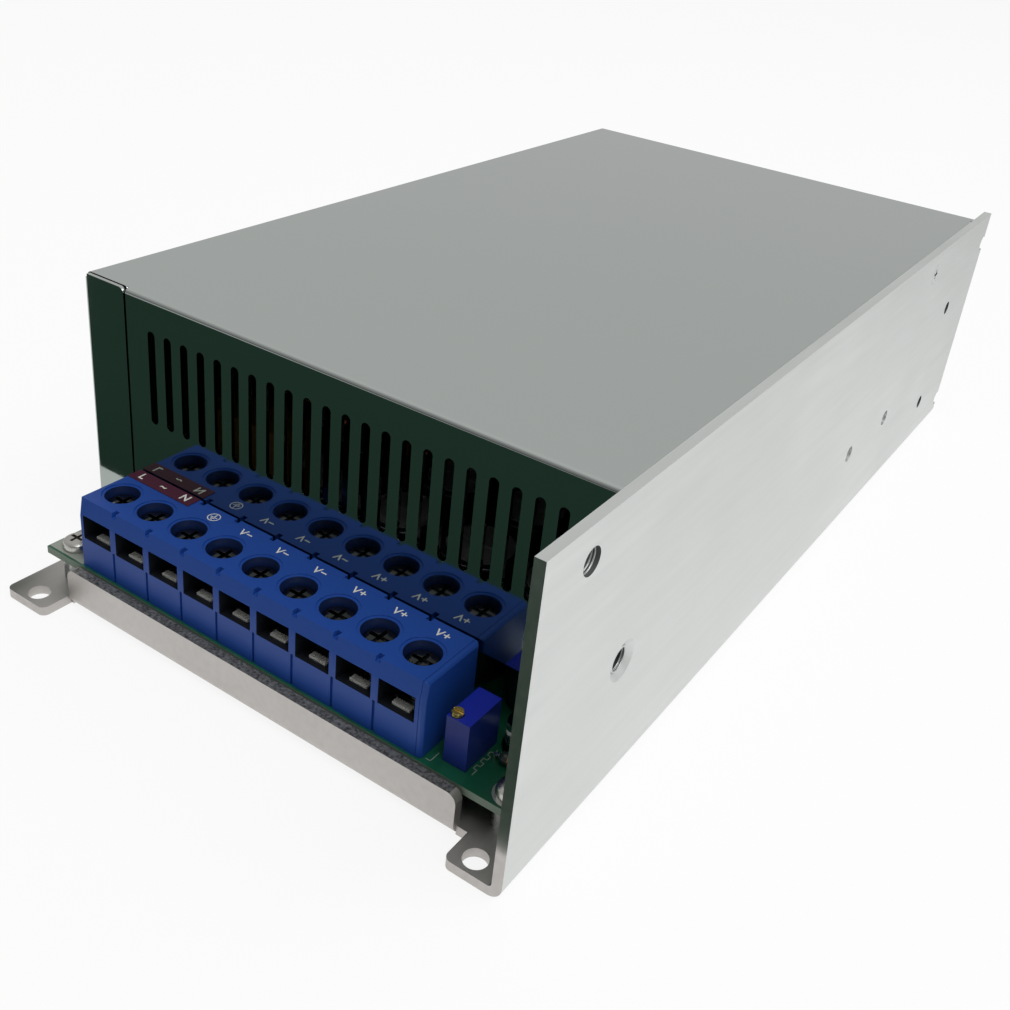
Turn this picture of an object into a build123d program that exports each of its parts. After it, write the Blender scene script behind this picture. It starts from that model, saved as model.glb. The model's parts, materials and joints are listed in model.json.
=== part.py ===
from build123d import *
import os
from math import cos, radians, sin

os.makedirs("parts", exist_ok=True)

# Case: X runs across with the tall wall on +X, the terminals face -Y, the bottom is at Z 0
case_width = 125.0
case_length = 240.0
case_height = 65.0
sheet_gap = 0.1                # room between two sheets that lie side by side

# Chassis, one folded aluminium sheet
chassis_sheet = 2.0
chassis_bend = 0.8             # inside radius of each fold
tab_length = 5.95
tab_corner = 1.5
tab_width = 11.6
tab_hole_d = 4.6
tab_hole_inset = 7.25          # hole centre from the side of the case
tab_hole_reach = 3.2           # hole centre from the free end of its tab
lip_height = 9.2
lip_foot = 4.0                 # depth of the lip's own strip of the bottom plate
lip_corner = 2.0
lip_gap_right = 2.3
lip_gap_left = 0.6
relief_depth = 1.0             # cut beside each end of the lip, behind its face
flange_height = 12.0
flange_setback = 2.5           # start of the left flange behind the cover's front
bottom_hole_d = 4.0
bottom_hole_span_x = 80.0
bottom_hole_span_y = 150.0

# Holes in the tall wall. The front two: distance from its front end, height, diameter
front_hole = (13.8, 58.2, 5.0)
side_mount_front = (31.4, 29.5, 5.0)
side_mount_sink_d = 8.0
side_mount_sink = 1.2
side_mount_rear_y = 24.8       # this and the next two from the rear end of the wall
side_mount_rear_z = (13.4, 42.7)
side_mount_rear_d = 3.6
clamp_screw_y = (91.7, 64.3)
clamp_screw_z = 22.5
edge_notch_z = (6.4, 56.3)
edge_notch_d = 4.0
edge_notch_inset = 1.0

# Cover, one folded steel sheet
cover_sheet = 0.8
cover_bend = 0.3
cover_drop = 0.6               # top of the cover below the top of the tall wall
cover_front_setback = 25.0
cover_rear_setback = 8.0
cover_floor_gap = 0.3          # lower edge of the left side above the ground
return_height = 12.0
strip_width = 11.7
strip_seam = 0.6
strip_gap = 0.25               # from the narrow front flange to the end of the top sheet
strip_drop = 0.15
strip_corner = 1.2
strip_foot_gap = 0.5           # from the narrow front flange down to the board
front_panel_bottom = 22.7
slot_count = 22
slot_pitch = 4.5
slot_width = 2.0
slot_length = 20.2
slot_first_x = 19.2            # first slot from the left side of the case
slot_centre_z = 47.4
cover_screw_front = 45.0       # first and last cover screw from the ends of the case
cover_screw_rear = 25.0
cover_screw_z = 5.2
wall_screw = (50.9, 59.0)      # screw through the wall into the cover: from the rear end, height

# Countersunk screws of the case
sunk_head_d = 5.0
sunk_shank_d = 3.0
sunk_depth = 0.8               # depth of the countersink, as thick as the cover
sunk_length = 5.0
screw_play = 0.1

# Board on its standoffs
board_sheet = 1.6
board_bottom = 7.4
board_edge_gap = 0.75          # front edge of the board behind the lip
board_side_left = 0.5          # left edge of the board from the inside of the left flange
board_side_right = 0.6
board_rear_gap = 5.0           # rear edge of the board before the fan
standoff_d = 6.0
standoff_bore_d = 3.2
standoff_inset_x = 4.6
standoff_inset_y = 4.0
board_screw_d = 3.0
board_screw_head_d = 6.0
board_screw_head = 2.2
board_screw_edge = 0.9         # bevel round the top of the head
board_screw_length = 6.0
sheet_thickness = 0.4          # insulating sheet under the board
sheet_inset = 8.0

# Terminal block
pole_count = 9
block_room_left = 11.05        # board left free beside the block, which sets the pitch of its poles
block_room_right = 22.45
block_inset = 0.5              # front face behind the front edge of the board
block_cover_gap = 0.3
block_height = 16.0
band_height = 4.0
band_slope = 0.7
sill_height = 7.0
window_width = 7.9
window_height = 5.3
screw_hole_d = 7.0
hole_ring_d = 8.2
hole_ring = 0.25
screw_axis_back = 6.8          # screw axis behind the front face
groove_width = 0.6
groove_depth = 0.45
notch_width = 1.1
notch_depth = 1.1
end_plate = 1.2
end_chamfer = 0.5

# Clamp of each pole
contact_sheet = 1.2
contact_drop = 0.4             # top of the contact below the sill
contact_width = 6.6
contact_recess = 3.0
pocket_gap = 0.35              # room behind the clamp plate in its pocket
leg_width = 1.3
leg_reach = 1.5                # legs below the board
leg_play = 0.15
screw_thread_d = 4.0
screw_running = 0.05           # radial clearance of the thread in its plates
screw_head_d = 6.2
screw_head = 2.2
screw_head_edge = 0.35
screw_shank = 7.2
recess_width = 1.0
recess_depth = 1.1
recess_length = 4.6
plate_size = 7.0
plate_sheet = 0.7
plate_travel = 4.6
plate_rest = 0.1               # plate above the contact when fully down
tip_room = 5.2                 # square passage under the contact for the tip of the screw

# Label on the first poles
label_length = 17.6
label_width = 3.4
label_sheet = 0.15

# Front controls, placed from the terminal block's right end
trimpot_gap = 2.9
trimpot_size = (4.8, 9.5, 10.0)
trimpot_setback = 2.4          # front of the trimpot behind the block's front
trimpot_screw_d = 2.2
trimpot_screw_inset = 1.3
trimpot_screw_rise = 0.8
trimpot_screw_depth = 2.5
trimpot_slot = 0.6
trimpot_running = 0.05
led_d = 5.0
led_rim_d = 5.8
led_height = 8.0
led_rim = 1.0
led_gap = 3.6
led_back = 10.8
resistor_d = 2.4
resistor_length = 6.3
resistor_gap = 3.0
resistor_back = 6.2
lead_d = 0.6
lead_reach = 1.2               # how far a bent lead stands out from the end of its part
lead_bend = 0.6

# Fan behind the rear panel
fan_gap = 0.8                  # room above and below the fan
fan_depth = 20.0
fan_wall_gap = 0.2
fan_centre_x = 52.0            # fan axis from the left side of the case
fan_duct_inset = 0.3           # outside of the round duct from the side of the fan
fan_duct_wall = 1.0
fan_corner_d = 4.3
fan_corner_inset = 5.0
fan_flange = 3.5
fan_hub_d = 26.0
fan_hub_height = 14.0
fan_hub_wall = 1.5
fan_motor_d = 22.0
fan_motor_plate = 1.5
fan_strut = 3.0
fan_tip_gap = 0.8
fan_shaft_d = 3.0
fan_shaft_running = 0.06
fan_bush_d = 7.0
fan_end_gap = 0.6
blade_count = 7
blade_sheet = 1.2
blade_camber = 0.125           # rise of a blade's arc, as a share of its chord
blade_root_chord = 13.0
blade_tip_chord = 18.0
blade_root_pitch = 48.0
blade_tip_pitch = 30.0
guard_wire = 1.6
guard_ring_count = 4
guard_first_ring = 8.0
guard_eye_d = 7.4
guard_lap = 0.3                # how far the rings sink into the cross wires
fan_screw_d = 4.0
fan_screw_head_d = 7.0
fan_screw_head = 2.4
fan_screw_length = 12.0
fan_lead_d = 2.4
fan_lead_drop = 12.0           # where the lead leaves the frame, below the fan's axis
fan_lead_turn = 0.8            # share of the lead's shorter leg that its bend takes
header_size = (7.4, 6.0, 7.0)
header_inset = 2.0             # middle of the header from the side of the fan

# Parts on the board. A place that ends in _back is measured back from the cover's front,
# _behind from the board's middle screws, and _ahead forward from the board's rear edge
fuse_d = 6.0
fuse_length = 22.0
fuse_back = 12.0
thermistor_d = 15.0
thermistor_sheet = 5.0
thermistor_back = 12.0
cap_x_size = (26.0, 11.0, 20.0)
cap_x_back = 30.0
cap_y_d = 9.0
cap_y_sheet = 4.5
cap_y_back = 27.0
cap_y_pitch = 7.0
cap_y_count = 2
choke_core = (7.0, 13.0, 12.0)  # inner radius, outer radius, height
winding_sheet = 2.4
winding_gap_deg = 26.0
bulk_d = 30.0
bulk_height = 42.0
bulk_behind = (23.5, 57.5)
bridge_size = (28.0, 4.6, 20.0)
bridge_behind = 5.5
transformer_width = 42.0
transformer_height = 20.0
transformer_coil_height = 36.0
transformer_gap = 4.5          # room before and behind it
transformer_leg = 13.0
transformer_yoke = 10.0
coil_gap = 0.4
coil_corner = 2.0
drive_core_size = (19.0, 16.0, 14.0)
drive_ahead = 25.0
output_core_side_gap = 5.0     # from its winding to the parts on either side
output_core_width = 11.0
output_core_height = 16.0
output_core_front_gap = 1.0    # from its winding to the capacitors in front of it
output_cap_d = 16.0
output_cap_height = 26.0
output_cap_pitch = 17.5
output_cap_rows = 2
output_cap_columns = 3
output_cap_back = 12.0
output_cap_wall_gap = 6.0
device_size = (5.0, 16.0, 21.0)
device_pitch = 27.4
pad_sheet = 0.3
clamp_bar_sheet = 3.0
clamp_bar_height = 10.0
clamp_bar_overhang = 12.0
clamp_screw_d = 4.0
clamp_screw_head_d = 7.0
clamp_screw_head = 3.0
device_lead_width = 10.0
rectifier_sink_size = (3.0, 58.0, 30.0)
rectifier_sink_back = 76.0
rectifier_sink_gap = 14.0
rectifier_count = 3
rectifier_pitch = 19.0
chip_size = (6.4, 19.0, 3.6)
chip_pitch = 11.0
chip_count = 2
chip_ahead = 25.0
inner_part_gap = 3.0

# Places that follow from the sizes above
x_left = -case_width / 2
x_right = case_width / 2
y_front = -case_length / 2
y_rear = case_length / 2
wall_in = x_right - chassis_sheet
cover_in_left = x_left + cover_sheet
plate_left = cover_in_left + sheet_gap
lip_face = y_front + tab_length
plate_rear = y_rear - tab_length
tab_in_left = plate_left + tab_width
tab_in_right = x_right - tab_width
lip_left = tab_in_left + lip_gap_left
lip_right = tab_in_right - lip_gap_right

cover_front = y_front + cover_front_setback
cover_rear = y_rear - cover_rear_setback
cover_top = case_height - cover_drop
cover_right = wall_in - sheet_gap
cover_ceiling = cover_top - cover_sheet
strip_right = x_left + strip_width
seam_x = strip_right + strip_seam
cover_fold = cover_bend + cover_sheet
cover_foot = 3 * cover_fold    # short leg of a fold, which lies in the next sheet
flange_front = cover_front + flange_setback
flange_rear = cover_rear - cover_sheet - cover_bend - sheet_gap

first_screw = y_front + cover_screw_front
last_screw = y_rear - cover_screw_rear
cover_screw_ys = (first_screw, (first_screw + last_screw) / 2, last_screw)
clamp_screw_ys = [y_rear - y for y in clamp_screw_y]

fan_size = cover_ceiling - chassis_sheet - 2 * fan_gap
fan_x = x_left + fan_centre_x
fan_z = chassis_sheet + fan_gap + fan_size / 2
fan_rear = cover_rear - cover_sheet - fan_wall_gap
fan_front = fan_rear - fan_depth
fan_corner = fan_size / 2 - fan_corner_inset
fan_bore = fan_size / 2 - fan_duct_inset - fan_duct_wall

board_top = board_bottom + board_sheet
board_left = plate_left + chassis_sheet + board_side_left
board_right = wall_in - board_side_right
board_front = lip_face + chassis_sheet + board_edge_gap
board_rear = fan_front - board_rear_gap
board_middle = (board_front + board_rear) / 2
standoff_xs = (board_left + standoff_inset_x, board_right - standoff_inset_x)
standoff_ys = (board_front + standoff_inset_y, board_middle, board_rear - standoff_inset_y)
standoff_places = [(x, y) for x in standoff_xs for y in standoff_ys]

block_front = board_front + block_inset
block_rear = cover_front - block_cover_gap
block_top = board_top + block_height
block_left = board_left + block_room_left
block_right = board_right - block_room_right
pole_pitch = (block_right - block_left) / pole_count
pole_xs = [block_left + (i + 0.5) * pole_pitch for i in range(pole_count)]
screw_y = block_front + screw_axis_back
sill_z = board_top + sill_height
window_top = sill_z + window_height
contact_top = sill_z - contact_drop
contact_front = block_front + contact_recess
pocket_rear = screw_y + plate_size / 2 + pocket_gap
plate_bottom = contact_top + plate_rest + plate_travel
head_bottom = plate_bottom + plate_sheet

trimpot_left = block_right + end_plate + trimpot_gap
trimpot_front = block_front + trimpot_setback
trimpot_right = trimpot_left + trimpot_size[0]
trimpot_top = board_top + trimpot_size[2]


def block(x0, x1, y0, y1, z0, z1):
    return Pos((x0 + x1) / 2, (y0 + y1) / 2, (z0 + z1) / 2) * Box(x1 - x0, y1 - y0, z1 - z0)


def rod_x(x0, x1, y, z, radius):
    return Pos((x0 + x1) / 2, y, z) * Rot(0, 90, 0) * Cylinder(radius, x1 - x0)


def rod_y(x, y0, y1, z, radius):
    return Pos(x, (y0 + y1) / 2, z) * Rot(90, 0, 0) * Cylinder(radius, y1 - y0)


def rod_z(x, y, z0, z1, radius):
    return Pos(x, y, (z0 + z1) / 2) * Cylinder(radius, z1 - z0)


def angle(corner, leg_a, leg_b, sheet, bend, along):
    # A folded L: its outer corner, a leg each way, and the vector that the section runs along
    corner, leg_a, leg_b, along = Vector(corner), Vector(leg_a), Vector(leg_b), Vector(along)
    way_a, way_b = leg_a.normalized(), leg_b.normalized()
    inner = corner + (way_a + way_b) * sheet
    outline = [corner, corner + leg_a, corner + leg_a + way_b * sheet, inner,
               corner + leg_b + way_a * sheet, corner + leg_b]
    face = make_face(Polyline(*outline, close=True)).face()
    face = face.fillet_2d(bend, [face.vertices().sort_by_distance(inner)[0]])
    face = face.fillet_2d(bend + sheet, [face.vertices().sort_by_distance(corner)[0]])
    return extrude(face, amount=along.length, dir=along.normalized())


def ring(inner_radius, outer_radius, height):
    return Cylinder(outer_radius, height) - Cylinder(inner_radius, height)


def group(solids):
    return Compound([solid for shape in solids for solid in shape.solids()])


def sunk_hole(x, y, z, play, toward):
    # Countersunk hole along X with its mouth at x, where toward is +1 if it deepens to +X
    head = sunk_head_d / 2 + play
    shank = sunk_shank_d / 2 + play
    cone = Pos(x + toward * sunk_depth / 2, y, z) * Rot(0, 90 * toward, 0) * Cone(head, shank, sunk_depth)
    start, end = sorted((x + toward * sunk_depth, x + toward * sunk_length))
    return cone + rod_x(start, end, y, z, shank)


def chassis():
    t, bend = chassis_sheet, chassis_bend
    body = angle((x_right, y_front, 0), (plate_left - x_right, 0, 0), (0, 0, case_height), t, bend,
                 (0, case_length, 0))
    body -= block(tab_in_left, tab_in_right, y_front, lip_face + relief_depth, 0, t)
    body -= block(tab_in_left, tab_in_right, plate_rear, y_rear, 0, t)
    corners = [edge for edge in body.edges().filter_by(Axis.Z)
               if abs(edge.center().Y) > y_rear - tab_corner and edge.center().Z < t]
    body = fillet(corners, tab_corner)
    body -= block(lip_left, lip_right, y_front, lip_face + lip_foot, 0, t)
    lip = angle((lip_left, lip_face, 0), (0, lip_foot, 0), (0, 0, lip_height), t, bend,
                (lip_right - lip_left, 0, 0))
    body += fillet(lip.edges().filter_by(Axis.Y).group_by(Axis.Z)[-1], lip_corner)
    flange_run = flange_rear - flange_front
    body -= block(plate_left, plate_left + 2 * t, flange_front, flange_rear, 0, t)
    body += angle((plate_left, flange_front, 0), (2 * t, 0, 0), (0, 0, flange_height), t, bend,
                  (0, flange_run, 0))
    for x in (x_left + tab_hole_inset, x_right - tab_hole_inset):
        for y in (y_front + tab_hole_reach, y_rear - tab_hole_reach):
            body -= rod_z(x, y, 0, t, tab_hole_d / 2)
    for x in (-bottom_hole_span_x / 2, bottom_hole_span_x / 2):
        for y in (-bottom_hole_span_y / 2, bottom_hole_span_y / 2):
            body -= rod_z(x, y, 0, t, bottom_hole_d / 2)
    for y in cover_screw_ys:
        body -= sunk_hole(x_left, y, cover_screw_z, screw_play, 1)
    body -= group(wall_holes())
    return body


def wall_holes():
    def hole(y, height, diameter):
        return rod_x(wall_in, x_right, y, height, diameter / 2)
    distance, height, diameter = front_hole
    holes = [hole(y_front + distance, height, diameter)]
    distance, height, diameter = side_mount_front
    holes.append(hole(y_front + distance, height, diameter))
    sink = Rot(0, 90, 0) * Cone(diameter / 2, side_mount_sink_d / 2, side_mount_sink)
    holes.append(Pos(x_right - side_mount_sink / 2, y_front + distance, height) * sink)
    holes += [hole(y_rear - side_mount_rear_y, height, side_mount_rear_d) for height in side_mount_rear_z]
    holes += [hole(y, clamp_screw_z, clamp_screw_d + screw_play) for y in clamp_screw_ys]
    holes += [hole(y_rear - edge_notch_inset, height, edge_notch_d) for height in edge_notch_z]
    holes.append(sunk_hole(x_right, y_rear - wall_screw[0], wall_screw[1], screw_play, -1))
    return holes


def cover():
    body = cover_front_end(cover_shell())
    body = cover_rear_end(body)
    body -= group(cover_slots())
    for y in cover_screw_ys:
        body -= sunk_hole(x_left, y, cover_screw_z, screw_play, 1)
    return body - sunk_hole(x_right, y_rear - wall_screw[0], wall_screw[1], screw_play, -1)


def cover_shell():
    # Top sheet with the left side and the return beside the tall wall
    length = cover_rear - cover_front
    top = angle((x_left, cover_front, cover_top), (cover_right - x_left - 2 * cover_fold, 0, 0),
                (0, 0, cover_floor_gap - cover_top), cover_sheet, cover_bend, (0, length, 0))
    side_return = angle((cover_right, cover_front, cover_top), (-cover_foot, 0, 0), (0, 0, -return_height),
                        cover_sheet, cover_bend, (0, length, 0))
    return top + side_return


def cover_front_end(body):
    # Front panel folded down from the top, right of the seam
    body -= block(seam_x, cover_right, cover_front, cover_front + cover_fold, cover_floor_gap, case_height)
    body += angle((seam_x, cover_front, cover_top), (0, cover_foot, 0), (0, 0, front_panel_bottom - cover_top),
                  cover_sheet, cover_bend, (cover_right - seam_x, 0, 0))
    # Narrow flange folded round from the left side, with its upper end before the top sheet
    strip_bottom = board_top + strip_foot_gap
    straight_top = cover_top - cover_fold
    strip_rear = cover_front + cover_sheet
    body -= block(x_left, seam_x, cover_front, strip_rear + strip_gap, straight_top, case_height)
    body -= block(x_left, x_left + cover_fold, cover_front, cover_front + cover_fold, cover_floor_gap,
                  straight_top)
    body += angle((x_left, cover_front, strip_bottom), (strip_width, 0, 0), (0, cover_foot, 0), cover_sheet,
                  cover_bend, (0, 0, straight_top - strip_bottom))
    upper = block(x_left + cover_fold, strip_right, cover_front, strip_rear, straight_top - cover_foot,
                  cover_top - strip_drop)
    corner = upper.edges().filter_by(Axis.Y).sort_by_distance((strip_right, cover_front, cover_top))[0]
    return body + fillet(corner, strip_corner)


def cover_rear_end(body):
    # Rear panel folded down from the top, with the fan opening
    floor = chassis_sheet + sheet_gap
    start = cover_rear - cover_fold
    body -= block(x_left, cover_right, start, cover_rear, cover_floor_gap, case_height)
    body += angle((x_left + cover_fold, cover_rear, cover_top), (0, -cover_foot, 0), (0, 0, floor - cover_top),
                  cover_sheet, cover_bend, (cover_right - x_left - cover_fold, 0, 0))
    body += angle((x_left, cover_rear, cover_floor_gap), (cover_foot, 0, 0), (0, -cover_foot, 0), cover_sheet,
                  cover_bend, (0, 0, cover_ceiling - cover_floor_gap))
    body -= block(cover_in_left, x_left + cover_foot, start, cover_rear, 0, floor)
    corner_gap = chassis_bend + sheet_gap
    body -= block(wall_in - corner_gap, cover_right, start, cover_rear, floor, floor + corner_gap)
    body -= rod_y(fan_x, cover_rear - cover_sheet, cover_rear, fan_z, fan_bore)
    for x, z in fan_corners():
        body -= rod_y(x, cover_rear - cover_sheet, cover_rear, z, fan_corner_d / 2)
    return body


def cover_slots():
    outline = Plane.XZ * SlotOverall(slot_length, slot_width, rotation=90)
    slot = extrude(outline, amount=2 * cover_sheet, both=True)
    return [Pos(x_left + slot_first_x + i * slot_pitch, cover_front, slot_centre_z) * slot
            for i in range(slot_count)]


def cover_screws():
    places = [(x_left, y, cover_screw_z, 1) for y in cover_screw_ys]
    places.append((x_right, y_rear - wall_screw[0], wall_screw[1], -1))
    return group([sunk_hole(x, y, z, 0, toward) for x, y, z, toward in places])


def main_circuit_board():
    board = block(board_left, board_right, board_front, board_rear, board_bottom, board_top)
    for x, y in standoff_places:
        board -= rod_z(x, y, board_bottom, board_top, standoff_bore_d / 2)
    for x in pole_xs:
        board -= contact_leg(x, leg_play)
    return board


def board_standoffs():
    length = board_bottom - chassis_sheet
    post = ring(standoff_bore_d / 2, standoff_d / 2, length)
    return group([Pos(x, y, chassis_sheet + length / 2) * post for x, y in standoff_places])


def board_screws():
    tip = board_top - board_screw_length
    screws = []
    for x, y in standoff_places:
        head = rod_z(x, y, board_top, board_top + board_screw_head, board_screw_head_d / 2)
        rim = head.edges().filter_by(GeomType.CIRCLE).sort_by(Axis.Z)[-1]
        screws.append(chamfer(rim, board_screw_edge) + rod_z(x, y, tip, board_top, board_screw_d / 2))
    return group(screws)


def insulating_sheet():
    edge = chassis_sheet + chassis_bend + sheet_gap
    sheet = block(plate_left + edge, x_right - edge, board_front + sheet_inset, board_rear,
                  chassis_sheet, chassis_sheet + sheet_thickness)
    for x, y in standoff_places:
        sheet -= rod_z(x, y, chassis_sheet, chassis_sheet + sheet_thickness, standoff_d / 2 + screw_play)
    return sheet


def terminal_outline(x0, width):
    outline = [(x0, block_front, board_top), (x0, block_rear, board_top), (x0, block_rear, block_top),
               (x0, block_front + band_slope, block_top), (x0, block_front, block_top - band_height)]
    return extrude(make_face(Polyline(*outline, close=True)), amount=width, dir=(1, 0, 0))


def terminal_housing():
    body = terminal_outline(block_left, block_right - block_left)
    body -= group([pole_pocket(x) for x in pole_xs])
    cuts = []
    for x in pole_xs[1:]:
        edge = x - pole_pitch / 2
        cuts.append(block(edge - groove_width / 2, edge + groove_width / 2, block_front,
                          block_front + groove_depth, board_top, sill_z))
        for y in (block_front + band_slope, block_rear):
            cuts.append(block(edge - notch_width / 2, edge + notch_width / 2, y - notch_depth,
                              y + notch_depth, block_top - notch_depth, block_top))
    return body - group(cuts)


def pole_pocket(x):
    half = window_width / 2
    pocket = block(x - half, x + half, block_front, pocket_rear, sill_z, window_top)
    pocket += block(x - half, x + half, contact_front - leg_play, pocket_rear,
                    contact_top - contact_sheet, sill_z)
    pocket += rod_z(x, screw_y, window_top, block_top, screw_hole_d / 2)
    pocket += rod_z(x, screw_y, block_top - hole_ring, block_top, hole_ring_d / 2)
    room = tip_room / 2
    pocket += block(x - room, x + room, screw_y - room, screw_y + room,
                    board_top, contact_top - contact_sheet)
    return pocket + contact_leg(x, leg_play)


def contact_leg(x, play):
    rear = pocket_rear - leg_play
    return block(x - leg_width / 2 - play, x + leg_width / 2 + play, rear - leg_width - play, rear + play,
                 board_bottom - leg_reach, contact_top)


def terminal_contacts():
    contacts = []
    for x in pole_xs:
        plate = block(x - contact_width / 2, x + contact_width / 2, contact_front, pocket_rear - leg_play,
                      contact_top - contact_sheet, contact_top)
        bore = rod_z(x, screw_y, contact_top - contact_sheet, contact_top, screw_thread_d / 2 + screw_running)
        contacts.append(plate + contact_leg(x, 0) - bore)
    return group(contacts)


def terminal_end_plate():
    plate = terminal_outline(block_right, end_plate)
    outer_face = plate.faces().sort_by(Axis.X)[-1]
    edges = [edge for edge in outer_face.edges() if edge.center().Z > board_top + end_chamfer]
    return chamfer(edges, end_chamfer)


def terminal_label():
    return block(block_left, block_left + label_length, block_rear - label_width, block_rear,
                 block_top, block_top + label_sheet)


def terminal_screw(x):
    head = rod_z(x, screw_y, head_bottom, head_bottom + screw_head, screw_head_d / 2)
    rim = head.edges().filter_by(GeomType.CIRCLE).sort_by(Axis.Z)[-1]
    head = chamfer(rim, screw_head_edge)
    top = head_bottom + screw_head
    for across, along in ((recess_width, recess_length), (recess_length, recess_width)):
        head -= block(x - across / 2, x + across / 2, screw_y - along / 2, screw_y + along / 2,
                      top - recess_depth, top)
    return head + rod_z(x, screw_y, head_bottom - screw_shank, head_bottom, screw_thread_d / 2)


def clamp_plate(x):
    half = plate_size / 2
    plate = block(x - half, x + half, screw_y - half, screw_y + half, plate_bottom, head_bottom)
    return plate - rod_z(x, screw_y, plate_bottom, head_bottom, screw_thread_d / 2 + screw_running)


def trimpot_axis():
    return trimpot_left + trimpot_screw_inset, trimpot_front + trimpot_screw_inset


def trimpot_body():
    rear = trimpot_front + trimpot_size[1]
    body = block(trimpot_left, trimpot_right, trimpot_front, rear, board_top, trimpot_top)
    x, y = trimpot_axis()
    radius = trimpot_screw_d / 2 + trimpot_running
    return body - rod_z(x, y, trimpot_top - trimpot_screw_depth, trimpot_top, radius)


def trimpot_screw():
    x, y = trimpot_axis()
    top = trimpot_top + trimpot_screw_rise
    screw = rod_z(x, y, trimpot_top - trimpot_screw_depth, top, trimpot_screw_d / 2)
    slot = block(x - trimpot_screw_d, x + trimpot_screw_d, y - trimpot_slot / 2, y + trimpot_slot / 2,
                 top - trimpot_screw_rise / 2, top)
    return screw - slot


def power_led():
    x = trimpot_right + led_gap
    y = trimpot_front + led_back
    lens = rod_z(x, y, board_top, board_top + led_height - led_d / 2, led_d / 2)
    lens += Pos(x, y, board_top + led_height - led_d / 2) * Sphere(led_d / 2)
    return lens + rod_z(x, y, board_top, board_top + led_rim, led_rim_d / 2)


def bent_lead(x0, x1, y, z):
    # Wire that comes up from the board at x0, runs across at height z and goes down at x1
    route = FilletPolyline((x0, y, board_top), (x0, y, z), (x1, y, z), (x1, y, board_top), radius=lead_bend)
    return sweep(Plane(origin=route @ 0, z_dir=route % 0) * Circle(lead_d / 2), path=route)


def led_resistor():
    x0 = trimpot_right + resistor_gap
    x1 = x0 + resistor_length
    y = trimpot_front + resistor_back
    z = board_top + resistor_d / 2
    return rod_x(x0, x1, y, z, resistor_d / 2) + bent_lead(x0 - lead_reach, x1 + lead_reach, y, z)


def fan_corners():
    return [(fan_x + i * fan_corner, fan_z + j * fan_corner) for i in (-1, 1) for j in (-1, 1)]


def on_fan_axis(shape, y):
    # Local +Z of the fan points to the rear
    return Pos(fan_x, y, fan_z) * Rot(-90, 0, 0) * shape


def fan_frame():
    # Two square flanges joined by a round duct, with the motor plate on struts at its front
    flange = Box(fan_size, fan_size, fan_flange)
    flange = fillet(flange.edges().filter_by(Axis.Z), fan_corner_inset / 2)
    middle = Pos(0, 0, fan_depth / 2)
    body = middle * Cylinder(fan_bore + fan_duct_wall, fan_depth)
    body += Pos(0, 0, fan_flange / 2) * flange
    body += Pos(0, 0, fan_depth - fan_flange / 2) * flange
    body -= middle * Cylinder(fan_bore, fan_depth)
    for x in (-fan_corner, fan_corner):
        for y in (-fan_corner, fan_corner):
            body -= Pos(x, y, fan_depth / 2) * Cylinder(fan_corner_d / 2, fan_depth)
    strut = Box(2 * fan_bore + fan_duct_wall, fan_strut, fan_motor_plate)
    plate = Cylinder(fan_motor_d / 2, fan_motor_plate) + Rot(0, 0, 45) * strut + Rot(0, 0, 135) * strut
    body += Pos(0, 0, fan_motor_plate / 2) * plate
    bush_length = fan_end_gap + fan_hub_height / 2
    body += Pos(0, 0, fan_motor_plate + bush_length / 2) * Cylinder(fan_bush_d / 2, bush_length)
    bore_length = bush_length + fan_motor_plate / 2
    bore = Cylinder(fan_shaft_d / 2 + fan_shaft_running, bore_length)
    return on_fan_axis(body - Pos(0, 0, fan_motor_plate + bush_length - bore_length / 2) * bore, fan_front)


def fan_rotor():
    hub = Cylinder(fan_hub_d / 2, fan_hub_height)
    hub = fillet(hub.edges().filter_by(GeomType.CIRCLE).sort_by(Axis.Z)[-1], fan_hub_wall)
    cup = Cylinder(fan_hub_d / 2 - fan_hub_wall, fan_hub_height - fan_hub_wall)
    hub -= Pos(0, 0, -fan_hub_wall / 2) * cup
    shaft_reach = fan_hub_height - fan_hub_wall
    hub += Pos(0, 0, -fan_hub_wall / 2) * Cylinder(fan_shaft_d / 2, shaft_reach)
    tip_radius = fan_bore - fan_tip_gap
    blade = fan_blade(fan_hub_d / 2 - fan_hub_wall / 2, tip_radius)
    blade &= Cylinder(tip_radius, fan_hub_height)
    for i in range(blade_count):
        hub += Rot(0, 0, 360 / blade_count * i) * blade
    start = fan_front + fan_motor_plate + fan_end_gap
    return on_fan_axis(hub, start + fan_hub_height / 2)


def fan_blade(root, tip):
    def section(radius, chord, pitch):
        along = Vector(0, cos(radians(pitch)), sin(radians(pitch))) * (chord / 2)
        across = Vector(0, -sin(radians(pitch)), cos(radians(pitch)))
        centre = Vector(radius, 0, 0)
        camber = across * (chord * blade_camber)
        low, high = across * (-blade_sheet / 2), across * (blade_sheet / 2)
        outline = ThreePointArc(centre - along + low, centre + camber + low, centre + along + low)
        outline += Line(centre + along + low, centre + along + high)
        outline += ThreePointArc(centre + along + high, centre + camber + high, centre - along + high)
        outline += Line(centre - along + high, centre - along + low)
        return make_face(outline)
    inner_end = section(root, blade_root_chord, blade_root_pitch)
    outer_end = section(tip, blade_tip_chord, blade_tip_pitch)
    return loft([inner_end, outer_end])


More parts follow.
